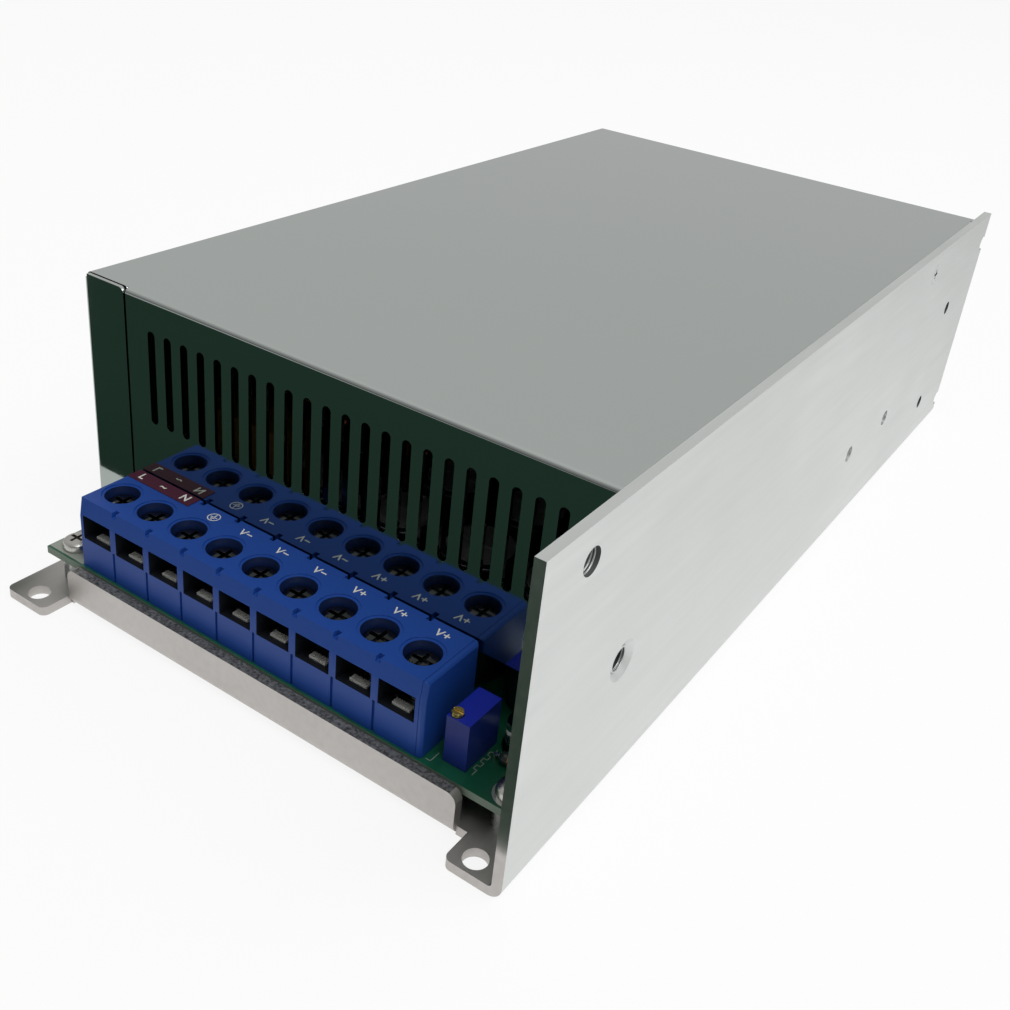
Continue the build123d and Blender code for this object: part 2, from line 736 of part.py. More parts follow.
def fan_guard():
    # Cross wires and screw eyes lie on the rear panel, with the rings outside them
    cross_y = cover_rear + guard_wire / 2
    rings_y = cross_y + guard_wire - guard_lap
    body = Part()
    half = guard_wire / 2
    corner = fan_corner * 2 ** 0.5
    last_ring = corner - guard_eye_d / 2 - guard_wire
    step = (last_ring - guard_first_ring) / (guard_ring_count - 1)
    for i in range(guard_ring_count):
        radius = guard_first_ring + i * step
        body += Pos(0, 0, rings_y - cross_y) * ring(radius - half, radius + half, guard_wire)
    start = guard_first_ring - half
    end = corner - guard_eye_d / 2 + half
    wire = Pos((start + end) / 2, 0, 0) * Box(end - start, guard_wire, guard_wire)
    eye = Pos(corner, 0, 0) * ring(guard_eye_d / 2 - guard_wire, guard_eye_d / 2, guard_wire)
    for turn in (45, 135, 225, 315):
        body += Rot(0, 0, turn) * (wire + eye)
    return on_fan_axis(body, cross_y)


def fan_screws():
    seat = cover_rear + guard_wire
    screws = []
    for x, z in fan_corners():
        head = rod_y(x, seat, seat + fan_screw_head, z, fan_screw_head_d / 2)
        screws.append(head + rod_y(x, seat - fan_screw_length, seat, z, fan_screw_d / 2))
    return group(screws)


def header_centre():
    return fan_x + fan_size / 2 - header_inset, board_rear - inner_part_gap - header_size[1] / 2


def fan_header():
    x, y = header_centre()
    width, depth, height = header_size
    return block(x - width / 2, x + width / 2, y - depth / 2, y + depth / 2, board_top, board_top + height)


def fan_lead():
    # From the front of the fan's frame forward and down into the header
    x, y = header_centre()
    z = fan_z - fan_lead_drop
    top = board_top + header_size[2]
    turn = fan_lead_turn * min(fan_front - y, z - top)
    route = FilletPolyline((x, fan_front, z), (x, y, z), (x, y, top), radius=turn)
    section = Plane(origin=route @ 0, z_dir=route % 0) * Circle(fan_lead_d / 2)
    return sweep(section, path=route)


def bulk_x():
    return board_left + inner_part_gap + bulk_d / 2


def bulk_capacitors():
    return group([rod_z(bulk_x(), board_middle + y, board_top, board_top + bulk_height, bulk_d / 2)
                  for y in bulk_behind])


def output_capacitors():
    cans = []
    for column in range(output_cap_columns):
        x = wall_in - output_cap_wall_gap - output_cap_d / 2 - column * output_cap_pitch
        for row in range(output_cap_rows):
            y = cover_front + output_cap_back + row * output_cap_pitch
            cans.append(rod_z(x, y, board_top, board_top + output_cap_height, output_cap_d / 2))
    return group(cans)


def fuse():
    x0 = board_left + inner_part_gap + lead_reach
    x1 = x0 + fuse_length
    y = cover_front + fuse_back
    z = board_top + fuse_d / 2
    return rod_x(x0, x1, y, z, fuse_d / 2) + bent_lead(x0 - lead_reach, x1 + lead_reach, y, z)


def standing_disc(x, back, diameter, sheet):
    y = cover_front + back
    return rod_y(x, y - sheet / 2, y + sheet / 2, board_top + diameter / 2, diameter / 2)


def inrush_thermistor():
    x = board_left + 2 * inner_part_gap + fuse_length + 3 * lead_reach + thermistor_d / 2
    return standing_disc(x, thermistor_back, thermistor_d, thermistor_sheet)


def x_capacitor():
    width, depth, height = cap_x_size
    x0 = board_left + inner_part_gap
    y0 = cover_front + cap_x_back - depth / 2
    return block(x0, x0 + width, y0, y0 + depth, board_top, board_top + height)


def y_capacitors():
    x = board_left + 2 * inner_part_gap + cap_x_size[0] + cap_y_d / 2
    return group([standing_disc(x, cap_y_back + i * cap_y_pitch, cap_y_d, cap_y_sheet)
                  for i in range(cap_y_count)])


def wound_core(core, x, y):
    inner, outer, height = core
    z = board_top + winding_sheet + height / 2
    return Pos(x, y, z) * ring(inner, outer, height)


def wound_coil(core, x, y):
    # Two half windings round the core, each touching its flat faces
    inner, outer, height = core
    z = board_top + winding_sheet + height / 2
    around = ring(inner - winding_sheet, outer + winding_sheet, height + 2 * winding_sheet)
    around -= ring(inner - screw_play, outer + screw_play, height)
    gap_width = 2 * outer * sin(radians(winding_gap_deg) / 2)
    around -= Box(gap_width, 3 * outer, 2 * height)
    return Pos(x, y, z) * around


def line_choke_place():
    # Halfway between the capacitor in front of it and the bridge rectifier behind it
    front = cover_front + cap_x_back + cap_x_size[1] / 2
    rear = board_middle + bridge_behind - bridge_size[1] / 2
    return board_left + inner_part_gap + choke_core[1] + winding_sheet, (front + rear) / 2


def bridge_rectifier():
    width, depth, height = bridge_size
    x0 = board_left + inner_part_gap
    y0 = board_middle + bridge_behind - depth / 2
    return block(x0, x0 + width, y0, y0 + depth, board_top, board_top + height)


def middle_column():
    # The space between the big capacitors and the rectifier heat sink: its middle, its half width
    left, right = bulk_x() + bulk_d / 2, sink_x()
    return (left + right) / 2, (right - left) / 2


def output_core():
    outer = middle_column()[1] - output_core_side_gap - winding_sheet
    return outer - output_core_width, outer, output_core_height


def output_core_place():
    last_row = cover_front + output_cap_back + (output_cap_rows - 1) * output_cap_pitch
    front = last_row + output_cap_d / 2 + output_core_front_gap
    return middle_column()[0], front + winding_sheet + output_core()[1]


def transformer_ends():
    front = output_core_place()[1] + output_core()[1] + winding_sheet + transformer_gap
    return front, board_rear - drive_ahead - drive_core_size[1] / 2 - transformer_gap


def transformer_depth():
    front, rear = transformer_ends()
    return rear - front


def transformer_place():
    return Pos(middle_column()[0], sum(transformer_ends()) / 2, board_top + transformer_coil_height / 2)


def transformer_window():
    # Width of each gap between the centre leg and the side legs
    return (transformer_width - transformer_leg - transformer_yoke) / 2


def transformer_core():
    # Two E halves closed on each other: outer frame with a centre leg, standing on its coil
    depth = transformer_depth()
    core = Box(transformer_width, depth, transformer_height)
    window = transformer_window()
    for side in (-1, 1):
        centre = side * (transformer_leg + window) / 2
        core -= Pos(centre, 0, 0) * Box(window, depth - 2 * transformer_yoke, transformer_height)
    return transformer_place() * core


def transformer_winding():
    length = transformer_depth() - 2 * (transformer_yoke + coil_gap)
    coil = Box(transformer_leg + 2 * (transformer_window() - coil_gap), length, transformer_coil_height)
    coil = fillet(coil.edges().filter_by(Axis.Y), coil_corner)
    coil -= Box(transformer_leg + 2 * coil_gap, length, transformer_height + 2 * coil_gap)
    return transformer_place() * coil


def drive_transformer():
    width, depth, height = drive_core_size
    x, y = middle_column()[0], board_rear - drive_ahead
    core = Pos(x, y, board_top + height / 2) * Box(width, depth, height)
    return fillet(core.edges().filter_by(Axis.Z), inner_part_gap / 2)


def device_ys():
    centre = sum(clamp_screw_ys) / 2
    return [centre + i * device_pitch for i in (-1, 0, 1)]


def device_body(x0, y, z0):
    # Flat moulded package with its three legs down to the board
    depth, width, height = device_size
    body = block(x0, x0 + depth, y - width / 2, y + width / 2, z0, z0 + height)
    lead_x = x0 + depth / 2
    for i in (-1, 0, 1):
        lead_y = y + i * device_lead_width / 2
        body += block(lead_x - lead_d / 2, lead_x + lead_d / 2, lead_y - lead_d, lead_y + lead_d,
                      board_top, z0)
    return body


def power_transistors():
    z0 = clamp_screw_z - device_size[2] / 2
    return group([device_body(clamp_bar_face(), y, z0) for y in device_ys()])


def insulator_pads():
    width, height = device_size[1:]
    z0 = clamp_screw_z - height / 2
    return group([block(wall_in - pad_sheet, wall_in, y - width / 2, y + width / 2, z0, z0 + height)
                  for y in device_ys()])


def clamp_bar_face():
    return wall_in - pad_sheet - device_size[0]


def clamp_bar():
    y0, y1 = clamp_screw_ys
    x1 = clamp_bar_face()
    bar = block(x1 - clamp_bar_sheet, x1, y0 - clamp_bar_overhang, y1 + clamp_bar_overhang,
                clamp_screw_z - clamp_bar_height / 2, clamp_screw_z + clamp_bar_height / 2)
    for y in (y0, y1):
        bar -= rod_x(x1 - clamp_bar_sheet, x1, y, clamp_screw_z, clamp_screw_d / 2 + screw_play)
    return bar


def clamp_screws():
    seat = clamp_bar_face() - clamp_bar_sheet
    screws = []
    for y in clamp_screw_ys:
        head = rod_x(seat - clamp_screw_head, seat, y, clamp_screw_z, clamp_screw_head_d / 2)
        screws.append(head + rod_x(seat, x_right - screw_play, y, clamp_screw_z, clamp_screw_d / 2))
    return group(screws)


def sink_x():
    return clamp_bar_face() - clamp_bar_sheet - clamp_screw_head - rectifier_sink_gap


def rectifier_heatsink():
    width, depth, height = rectifier_sink_size
    y0 = cover_front + rectifier_sink_back - depth / 2
    return block(sink_x(), sink_x() + width, y0, y0 + depth, board_top, board_top + height)


def rectifier_diodes():
    middle = (rectifier_count - 1) / 2
    ys = [cover_front + rectifier_sink_back + (i - middle) * rectifier_pitch for i in range(rectifier_count)]
    x0 = sink_x() + rectifier_sink_size[0]
    return group([device_body(x0, y, board_top + inner_part_gap) for y in ys])


def control_chips():
    width, depth, height = chip_size
    first = middle_column()[0] + drive_core_size[0] / 2 + 2 * inner_part_gap
    y0 = board_rear - chip_ahead - depth / 2
    chips = []
    for i in range(chip_count):
        x0 = first + i * chip_pitch
        chips.append(block(x0, x0 + width, y0, y0 + depth, board_top, board_top + height))
    return group(chips)


def save(node, shape):
    export_step(shape, "parts/" + node + ".step")


save("chassis", chassis())
save("cover", cover())
save("cover_screws", cover_screws())
save("main_circuit_board", main_circuit_board())
save("board_standoffs", board_standoffs())
save("board_screws", board_screws())
save("insulating_sheet", insulating_sheet())
save("terminal_housing", terminal_housing())
save("terminal_end_plate", terminal_end_plate())
save("terminal_label", terminal_label())
save("terminal_contacts", terminal_contacts())
for number, pole_x in enumerate(pole_xs, start=1):
    save("terminal_screw_" + str(number), terminal_screw(pole_x))
    save("clamp_plate_" + str(number), clamp_plate(pole_x))
save("trimpot_body", trimpot_body())
save("trimpot_screw", trimpot_screw())
save("power_led", power_led())
save("led_resistor", led_resistor())
save("fuse", fuse())
save("inrush_thermistor", inrush_thermistor())
save("x_capacitor", x_capacitor())
save("y_capacitors", y_capacitors())
save("line_choke_core", wound_core(choke_core, *line_choke_place()))
save("line_choke_winding", wound_coil(choke_core, *line_choke_place()))
save("bulk_capacitors", bulk_capacitors())
save("bridge_rectifier", bridge_rectifier())
save("transformer_core", transformer_core())
save("transformer_winding", transformer_winding())
save("drive_transformer", drive_transformer())
save("power_transistors", power_transistors())
save("insulator_pads", insulator_pads())
save("clamp_bar", clamp_bar())
save("clamp_screws", clamp_screws())
save("rectifier_heatsink", rectifier_heatsink())
save("rectifier_diodes", rectifier_diodes())
save("output_choke_core", wound_core(output_core(), *output_core_place()))
save("output_choke_winding", wound_coil(output_core(), *output_core_place()))
save("output_capacitors", output_capacitors())
save("control_chips", control_chips())
save("fan_frame", fan_frame())
save("fan_rotor", fan_rotor())
save("fan_guard", fan_guard())
save("fan_screws", fan_screws())
save("fan_lead", fan_lead())
save("fan_header", fan_header())
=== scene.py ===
import json
import math

import bmesh
import bpy
from mathutils import Matrix, Vector


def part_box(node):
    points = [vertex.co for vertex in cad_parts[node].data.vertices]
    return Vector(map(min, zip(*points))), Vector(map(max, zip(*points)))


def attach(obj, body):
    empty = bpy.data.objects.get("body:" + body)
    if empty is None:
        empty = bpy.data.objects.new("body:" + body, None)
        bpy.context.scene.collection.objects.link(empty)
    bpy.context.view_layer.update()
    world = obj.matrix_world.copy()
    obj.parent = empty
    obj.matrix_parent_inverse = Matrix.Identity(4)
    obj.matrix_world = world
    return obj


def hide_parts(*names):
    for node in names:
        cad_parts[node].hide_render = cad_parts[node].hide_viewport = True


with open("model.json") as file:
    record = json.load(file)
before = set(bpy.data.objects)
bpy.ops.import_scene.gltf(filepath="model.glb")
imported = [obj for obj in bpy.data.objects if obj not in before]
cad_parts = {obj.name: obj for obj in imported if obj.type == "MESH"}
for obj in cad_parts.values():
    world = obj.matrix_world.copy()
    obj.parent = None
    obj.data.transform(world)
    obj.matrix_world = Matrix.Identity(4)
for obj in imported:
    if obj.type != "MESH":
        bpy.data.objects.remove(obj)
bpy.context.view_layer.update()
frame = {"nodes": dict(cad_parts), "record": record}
nodes = frame["nodes"]

# All sizes in the script are millimetres; a mesh is scaled to metres when it is made
MM = 0.001
BODY_OF = {node: body for body, members in frame["record"]["behaviour"]["bodies"].items() for node in members}
SLOT_OF = {row["node"]: row["material_slot"] for row in frame["record"]["subparts"]}
POLES = 9
UP = Vector((0, 0, 1))


# Node trees

class Wiring:
    """Places nodes in a tree and joins their sockets."""

    def __init__(self, tree):
        self.tree = tree

    def add(self, kind, inputs=None, **settings):
        node = self.tree.nodes.new(kind)
        for key, value in settings.items():
            setattr(node, key, value)
        for key, value in (inputs or {}).items():
            self.feed(node.inputs[key], value)
        return node

    def feed(self, socket, value):
        if isinstance(value, bpy.types.NodeSocket):
            self.tree.links.new(value, socket)
        else:
            socket.default_value = value

    def maths(self, operation, first, second=0.0):
        return self.add("ShaderNodeMath", {0: first, 1: second}, operation=operation).outputs[0]


# Finishes

FINISH = {}


def finish(slot, color, roughness, metallic=0.0, **more):
    """A finish kept under its slot's name, with the shader's own sockets set. Returns its wiring too."""
    material = FINISH[slot] = bpy.data.materials.new(slot)
    material.use_nodes = True
    shader = material.node_tree.nodes["Principled BSDF"]
    shader.inputs["Base Color"].default_value = (*color, 1)
    shader.inputs["Roughness"].default_value = roughness
    shader.inputs["Metallic"].default_value = metallic
    for name, value in more.items():
        shader.inputs[name.replace("_", " ")].default_value = value
    material.diffuse_color = (*color, 1)
    return material, Wiring(material.node_tree), shader


def object_noise(wiring, scale, stretch=(1, 1, 1), detail=3.0):
    """Noise on the piece's own coordinates, longer along the axes with a small stretch."""
    place = wiring.add("ShaderNodeTexCoord").outputs["Object"]
    place = wiring.add("ShaderNodeMapping", {"Vector": place, "Scale": stretch}).outputs["Vector"]
    noise = wiring.add("ShaderNodeTexNoise", {"Vector": place, "Scale": scale, "Detail": detail})
    return noise.outputs["Fac"]


def vary(wiring, noise, low, high):
    """Noise brought to a range."""
    return wiring.add("ShaderNodeMapRange", {"Value": noise, "From Min": 0.3, "From Max": 0.7,
                                             "To Min": low, "To Max": high}).outputs["Result"]


def add_grain(wiring, shader, noise, depth):
    """Fine relief from noise, its depth in millimetres."""
    bump = wiring.add("ShaderNodeBump", {"Height": noise, "Strength": 1.0, "Distance": depth * MM})
    wiring.feed(shader.inputs["Normal"], bump.outputs["Normal"])


def metal(slot, color, roughness, spread=0.05, grain=0.004, stretch=(1, 1, 1), scale=900):
    _, wiring, shader = finish(slot, color, roughness, 1.0)
    noise = object_noise(wiring, scale, stretch)
    wiring.feed(shader.inputs["Roughness"], vary(wiring, noise, roughness - spread, roughness + spread))
    add_grain(wiring, shader, noise, grain)


def moulded(slot, color, roughness, grain=0.01, scale=1500, **more):
    _, wiring, shader = finish(slot, color, roughness, **more)
    add_grain(wiring, shader, object_noise(wiring, scale), grain)


def plain(slot, color, roughness, metallic=0.0, **more):
    return finish(slot, color, roughness, metallic, **more)[0]


def mill_aluminium(slot, color):
    """Bare rolled sheet: faint marks along the rolling direction and slow cloudy changes of gloss."""
    _, wiring, shader = finish(slot, color, 0.50, 1.0)
    rolled = object_noise(wiring, 700, (1.0, 0.05, 1.0))
    cloudy = object_noise(wiring, 25, detail=2.0)
    mixed = wiring.maths("ADD", vary(wiring, rolled, -0.05, 0.05), vary(wiring, cloudy, 0.45, 0.56))
    wiring.feed(shader.inputs["Roughness"], mixed)
    add_grain(wiring, shader, rolled, 0.003)


def polished_steel(slot, color):
    """Bright rolled sheet that mirrors what is near it."""
    _, wiring, shader = finish(slot, color, 0.06, 1.0)
    drawn = object_noise(wiring, 500, (1.0, 0.04, 1.0))
    wiring.feed(shader.inputs["Roughness"], vary(wiring, drawn, 0.045, 0.08))
    add_grain(wiring, shader, drawn, 0.0002)


def sheared_metal(slot):
    """The torn, speckled edge that a shear leaves on the sheet, in dark and light grains."""
    _, wiring, shader = finish(slot, (0.22, 0.22, 0.215), 0.55, 0.6)
    torn = object_noise(wiring, 1900, detail=4.0)
    mixed = wiring.add("ShaderNodeMix", {"Factor": vary(wiring, torn, 0.0, 1.0), 6: (0.045, 0.045, 0.045, 1),
                                         7: (0.30, 0.30, 0.29, 1)}, data_type="RGBA")
    wiring.feed(shader.inputs["Base Color"], mixed.outputs[2])
    add_grain(wiring, shader, torn, 0.04)


def green_resist():
    """Solder resist with copper tracks showing through as a lighter green."""
    _, wiring, shader = finish("green_board", (0.008, 0.082, 0.042), 0.28)
    place = wiring.add("ShaderNodeTexCoord").outputs["Object"]
    cells = wiring.add("ShaderNodeTexVoronoi", {"Vector": place, "Scale": 160.0, "Randomness": 0.35},
                       distance="CHEBYCHEV", feature="F1")
    track = vary(wiring, cells.outputs["Distance"], 0.0, 1.0)
    mixed = wiring.add("ShaderNodeMix", {"Factor": track, 6: (0.010, 0.105, 0.055, 1),
                                         7: (0.007, 0.068, 0.036, 1)}, data_type="RGBA")
    wiring.feed(shader.inputs["Base Color"], mixed.outputs[2])


mill_aluminium("aluminium_sheet", (0.72, 0.735, 0.722))
# painted shade: a darker, warmer copy of the chassis sheet for its base and lip
mill_aluminium("base_sheet_painted_shade", (0.545, 0.52, 0.50))
polished_steel("polished_cover", (0.555, 0.59, 0.572))
# painted shade: a darker copy of the cover steel for its front face, so its reflections look dimmer
polished_steel("cover_front_painted_shade", (0.34, 0.38, 0.36))
sheared_metal("sheared_edge")
# painted shade: the wall's front cut edge, coarser grained and darkened to stand for the dark front it
# mirrors
metal("wall_edge_painted_shade", (0.41, 0.41, 0.41), 0.50, 0.10, grain=0.01)
# painted shade: near-black matte colour for the cover's inner faces
moulded("inside_painted_shade", (0.030, 0.034, 0.031), 0.70)
plain("hole_shade", (0.075, 0.078, 0.076), 0.50)
moulded("glass_fibre", (0.20, 0.26, 0.20), 0.60, grain=0.02)
moulded("pale_land", (0.33, 0.36, 0.31), 0.38, grain=0.006)
moulded("nylon_shade", (0.004, 0.020, 0.100), 0.50)
plain("window_shade", (0.002, 0.004, 0.009), 0.60)
# painted shade: a dark copy of nickel for the terminal screws, which sit in shaded wells
metal("nickel_painted_shade", (0.20, 0.205, 0.21), 0.12, 0.03)
# painted light: a pale, nearly matte copy of tin so the contact tongues look lit inside the windows
moulded("tin_painted_light", (0.80, 0.81, 0.77), 0.35, grain=0.004, metallic=0.2)
# painted light: a brighter copy of the trimmer's blue for its top
moulded("trimmer_top_painted_light", (0.010, 0.026, 0.42), 0.40, Specular_IOR_Level=0.3)
metal("zinc_screw", (0.60, 0.61, 0.62), 0.30)
metal("nickel_screw", (0.50, 0.49, 0.46), 0.28)
green_resist()
plain("black_film", (0.015, 0.018, 0.016), 0.35)
moulded("blue_nylon", (0.012, 0.064, 0.325), 0.42, Specular_IOR_Level=0.35)
plain("maroon_label", (0.066, 0.007, 0.026), 0.35)
metal("tinned_metal", (0.70, 0.70, 0.68), 0.28)
# painted shade: the trimmer's blue is darkened for its sides
moulded("trimmer_blue", (0.011, 0.028, 0.20), 0.40, Specular_IOR_Level=0.3)
metal("brass_screw", (0.72, 0.53, 0.17), 0.26)
plain("led_lens", (0.93, 0.97, 0.95), 0.04, Transmission_Weight=1.0, IOR=1.5)
plain("resistor_body", (0.020, 0.035, 0.030), 0.16)
plain("fuse_glass", (0.90, 0.94, 0.93), 0.03, Transmission_Weight=1.0, IOR=1.5)
moulded("thermistor_coat", (0.020, 0.030, 0.022), 0.45, grain=0.03)
moulded("film_yellow", (0.26, 0.15, 0.012), 0.45)
moulded("disc_blue", (0.03, 0.12, 0.36), 0.35)
moulded("ferrite", (0.020, 0.020, 0.022), 0.50, grain=0.03)
metal("copper_wire", (0.62, 0.22, 0.08), 0.22)
plain("sleeve_black", (0.008, 0.010, 0.016), 0.22)
moulded("moulded_black", (0.010, 0.010, 0.010), 0.50)
plain("tape_yellow", (0.26, 0.15, 0.012), 0.40)
plain("pad_grey", (0.28, 0.30, 0.31), 0.60)
moulded("powder_core", (0.03, 0.14, 0.05), 0.40)
moulded("fan_black", (0.012, 0.012, 0.013), 0.42)
metal("plated_wire", (0.66, 0.66, 0.66), 0.20)
plain("lead_red", (0.30, 0.010, 0.008), 0.40)
plain("header_white", (0.80, 0.79, 0.74), 0.45)


# Pieces and their place in the frame

def adopt(piece, body, slot, *replaced):
    """Hands a finished piece to its body and hides the solids that it stands for. The slot is not used."""
    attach(piece, body)
    if replaced:
        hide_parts(*replaced)
    return piece


def new_piece(name, mesh, slot):
    piece = bpy.data.objects.new(name, mesh)
    bpy.context.scene.collection.objects.link(piece)
    if not mesh.materials:
        mesh.materials.append(FINISH[slot])
    return piece


def settle(piece):
    """Makes the piece's modifiers part of its mesh."""
    reader = bpy.context.evaluated_depsgraph_get()
    mesh = bpy.data.meshes.new_from_object(piece.evaluated_get(reader), depsgraph=reader)
    piece.modifiers.clear()
    piece.data = mesh


def ease_edges(piece, width, steps=2, limit=32):
    """Small rounds on the edges, with the flat faces kept flat in the light."""
    bevel = piece.modifiers.new("eased edges", "BEVEL")
    bevel.width = width * MM
    bevel.segments = steps
    bevel.limit_method = "ANGLE"
    bevel.angle_limit = math.radians(limit)
    bevel.use_clamp_overlap = True
    settle(piece)
    shade(piece.data, 50)
    even = piece.modifiers.new("even normals", "WEIGHTED_NORMAL")
    even.mode = "FACE_AREA_WITH_ANGLE"
    even.weight = 100
    even.keep_sharp = True
    settle(piece)


def shade(mesh, limit=32):
    mesh.shade_smooth()
    mesh.set_sharp_from_angle(angle=math.radians(limit))


def cleaned(node):
    """A solid's mesh as clean faces: corners merged, flat areas joined, no stored normals."""
    work = bmesh.new()
    work.from_mesh(nodes[node].data)
    bmesh.ops.remove_doubles(work, verts=work.verts, dist=0.001 * MM)
    bmesh.ops.dissolve_limit(work, angle_limit=math.radians(0.5), verts=work.verts, edges=work.edges)
    mesh = bpy.data.meshes.new(node)
    corners = [tuple(v.co) for v in work.verts]
    work.verts.index_update()
    mesh.from_pydata(corners, [], [[v.index for v in f.verts] for f in work.faces])
    work.free()
    mesh.shade_smooth()
    return mesh


def dressed(node, width, steps=2):
    """The solid's own shape with its edges eased, standing in for it."""
    piece = new_piece(node + "_eased", cleaned(node), SLOT_OF[node])
    ease_edges(piece, width, steps)
    return adopt(piece, BODY_OF[node], SLOT_OF[node], node)


def repaint(piece, slot, wanted):
    """Gives a second finish to the faces that are wanted by their centre, in millimetres, and normal."""
    mesh = piece.data
    mesh.materials.append(FINISH[slot])
    for face in mesh.polygons:
        if wanted(face.center / MM, face.normal):
            face.material_index = len(mesh.materials) - 1


def box_of(node):
    """Low and high corner of a solid, in millimetres."""
    low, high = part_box(node)
    return low / MM, high / MM


def centre_of(node):
    low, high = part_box(node)
    return (low + high) / 2 / MM


def add_fixed(name, mesh, slot, *replaced):
    """A finished piece on the supply itself."""
    return adopt(new_piece(name, mesh, slot), "supply", slot, *replaced)


# Shapes, in millimetres

class Shape:
    """Corners and faces gathered from simple forms."""

    def __init__(self):
        self.work = bmesh.new()

    def box(self, x0, x1, y0, y1, z0, z1):
        place = Matrix.Translation(((x0 + x1) / 2, (y0 + y1) / 2, (z0 + z1) / 2))
        size = Matrix.Diagonal((x1 - x0, y1 - y0, z1 - z0, 1))
        bmesh.ops.create_cube(self.work, size=1.0, matrix=place @ size)
        return self

    def lathe(self, profile, steps=32, place=Matrix()):
        """Turned about Z from (radius, height) points, with the ends on the axis or joined."""
        rings = []
        for radius, height in profile:
            if radius == 0:
                rings.append([self.work.verts.new(place @ Vector((0, 0, height)))])
                continue
            rings.append([self.work.verts.new(place @ Vector((
                radius * math.cos(2 * math.pi * i / steps),
                radius * math.sin(2 * math.pi * i / steps), height))) for i in range(steps)])
        for low, high in zip(rings, rings[1:]):
            for i in range(steps):
                j = (i + 1) % steps
                corners = [low[i % len(low)], low[j % len(low)],
                           high[j % len(high)], high[i % len(high)]]
                self.work.faces.new(list(dict.fromkeys(corners)))  # a point on the axis counts once
        return self

    def torus(self, major, minor, place=Matrix(), steps=40, round_steps=12):
        rings = []
        for i in range(steps):
            turn = Matrix.Rotation(2 * math.pi * i / steps, 4, "Z")
            rings.append([self.work.verts.new(place @ turn @ Vector((
                major + minor * math.cos(2 * math.pi * k / round_steps), 0,
                minor * math.sin(2 * math.pi * k / round_steps)))) for k in range(round_steps)])
        for i in range(steps):
            here, there = rings[i], rings[(i + 1) % steps]
            for k in range(round_steps):
                n = (k + 1) % round_steps
                self.work.faces.new((here[k], there[k], there[n], here[n]))
        return self

    def rod(self, start, end, radius, steps=16):
        start, end = Vector(start), Vector(end)
        along = end - start
        place = Matrix.Translation(start) @ along.to_track_quat("Z", "Y").to_matrix().to_4x4()
        return self.lathe([(0, 0), (radius, 0), (radius, along.length), (0, along.length)], steps, place)

    def pipe(self, route, radius, steps=12):
        """Wire along a list of points, with a mitred ring at each."""
        route = [Vector(p) for p in route]
        rings = []
        side = None
        for i, point in enumerate(route):
            before = (point - route[i - 1]).normalized() if i else None
            after = (route[i + 1] - point).normalized() if i + 1 < len(route) else None
            along = ((before or after) + (after or before)).normalized()
            if side is None:
                side = along.orthogonal().normalized()
            side = (side - along * side.dot(along)).normalized()
            across = along.cross(side)
            rings.append([self.work.verts.new(point + radius * (
                math.cos(2 * math.pi * k / steps) * side + math.sin(2 * math.pi * k / steps) * across))
                for k in range(steps)])
        for here, there in zip(rings, rings[1:]):
            for k in range(steps):
                n = (k + 1) % steps
                self.work.faces.new((here[k], here[n], there[n], there[k]))
        self.work.faces.new(rings[0][::-1])
        self.work.faces.new(rings[-1])
        return self

    def mesh(self, name, smooth=32):
        bmesh.ops.remove_doubles(self.work, verts=self.work.verts, dist=1e-5)
        bmesh.ops.recalc_face_normals(self.work, faces=self.work.faces)
        bmesh.ops.scale(self.work, vec=(MM, MM, MM), verts=self.work.verts)
        mesh = bpy.data.meshes.new(name)
        self.work.to_mesh(mesh)
        self.work.free()
        shade(mesh, smooth)
        return mesh


def moved(mesh, place):
    """The mesh at a place given in millimetres."""
    shift = Matrix.Translation(place.to_translation() * MM)
    mesh.transform(shift @ place.to_3x3().to_4x4())
    return mesh


def join_meshes(name, meshes):
    work = bmesh.new()
    materials = []
    for mesh in meshes:
        start = len(work.faces)
        work.from_mesh(mesh)
        work.faces.ensure_lookup_table()
        finishes = list(mesh.materials)
        for face in work.faces[start:]:
            material = finishes[face.material_index] if finishes else None
            if material and material not in materials:
                materials.append(material)
            face.material_index = materials.index(material) if material else 0
    joined = bpy.data.meshes.new(name)
    work.to_mesh(joined)
    work.free()
    for material in materials:
        joined.materials.append(material)
    return joined


def painted(mesh, slot):
    mesh.materials.clear()
    mesh.materials.append(FINISH[slot])
    return mesh


# Geometry Nodes: every tree takes named sizes in metres and ends in plain, painted geometry

def geometry_tree(name, sizes):
    tree = bpy.data.node_groups.new(name, "GeometryNodeTree")
    tree.interface.new_socket(name="Geometry", in_out="INPUT", socket_type="NodeSocketGeometry")
    for label, kind in sizes:
        tree.interface.new_socket(name=label, in_out="INPUT", socket_type="NodeSocket" + kind)
    tree.interface.new_socket(name="Finish", in_out="INPUT", socket_type="NodeSocketMaterial")
    tree.interface.new_socket(name="Geometry", in_out="OUTPUT", socket_type="NodeSocketGeometry")
    wiring = Wiring(tree)
    return tree, wiring, wiring.add("NodeGroupInput").outputs


def close_tree(tree, wiring, given, result):
    whole = wiring.add("GeometryNodeRealizeInstances", {"Geometry": result}).outputs[0]
    whole = wiring.add("GeometryNodeSetMaterial", {"Geometry": whole, "Material": given["Finish"]}).outputs[0]
    wiring.add("NodeGroupOutput", {"Geometry": whole})
    return tree


def row_tree():
    """Copies of the given piece in a straight row."""
    tree, w, given = geometry_tree("row", [("Count", "Int"), ("Step", "Vector")])
    line = w.add("GeometryNodeMeshLine", {"Count": given["Count"], "Offset": given["Step"]}, mode="OFFSET")
    row = w.add("GeometryNodeInstanceOnPoints", {"Points": line.outputs[0], "Instance": given["Geometry"]})
    return close_tree(tree, w, given, row.outputs[0])


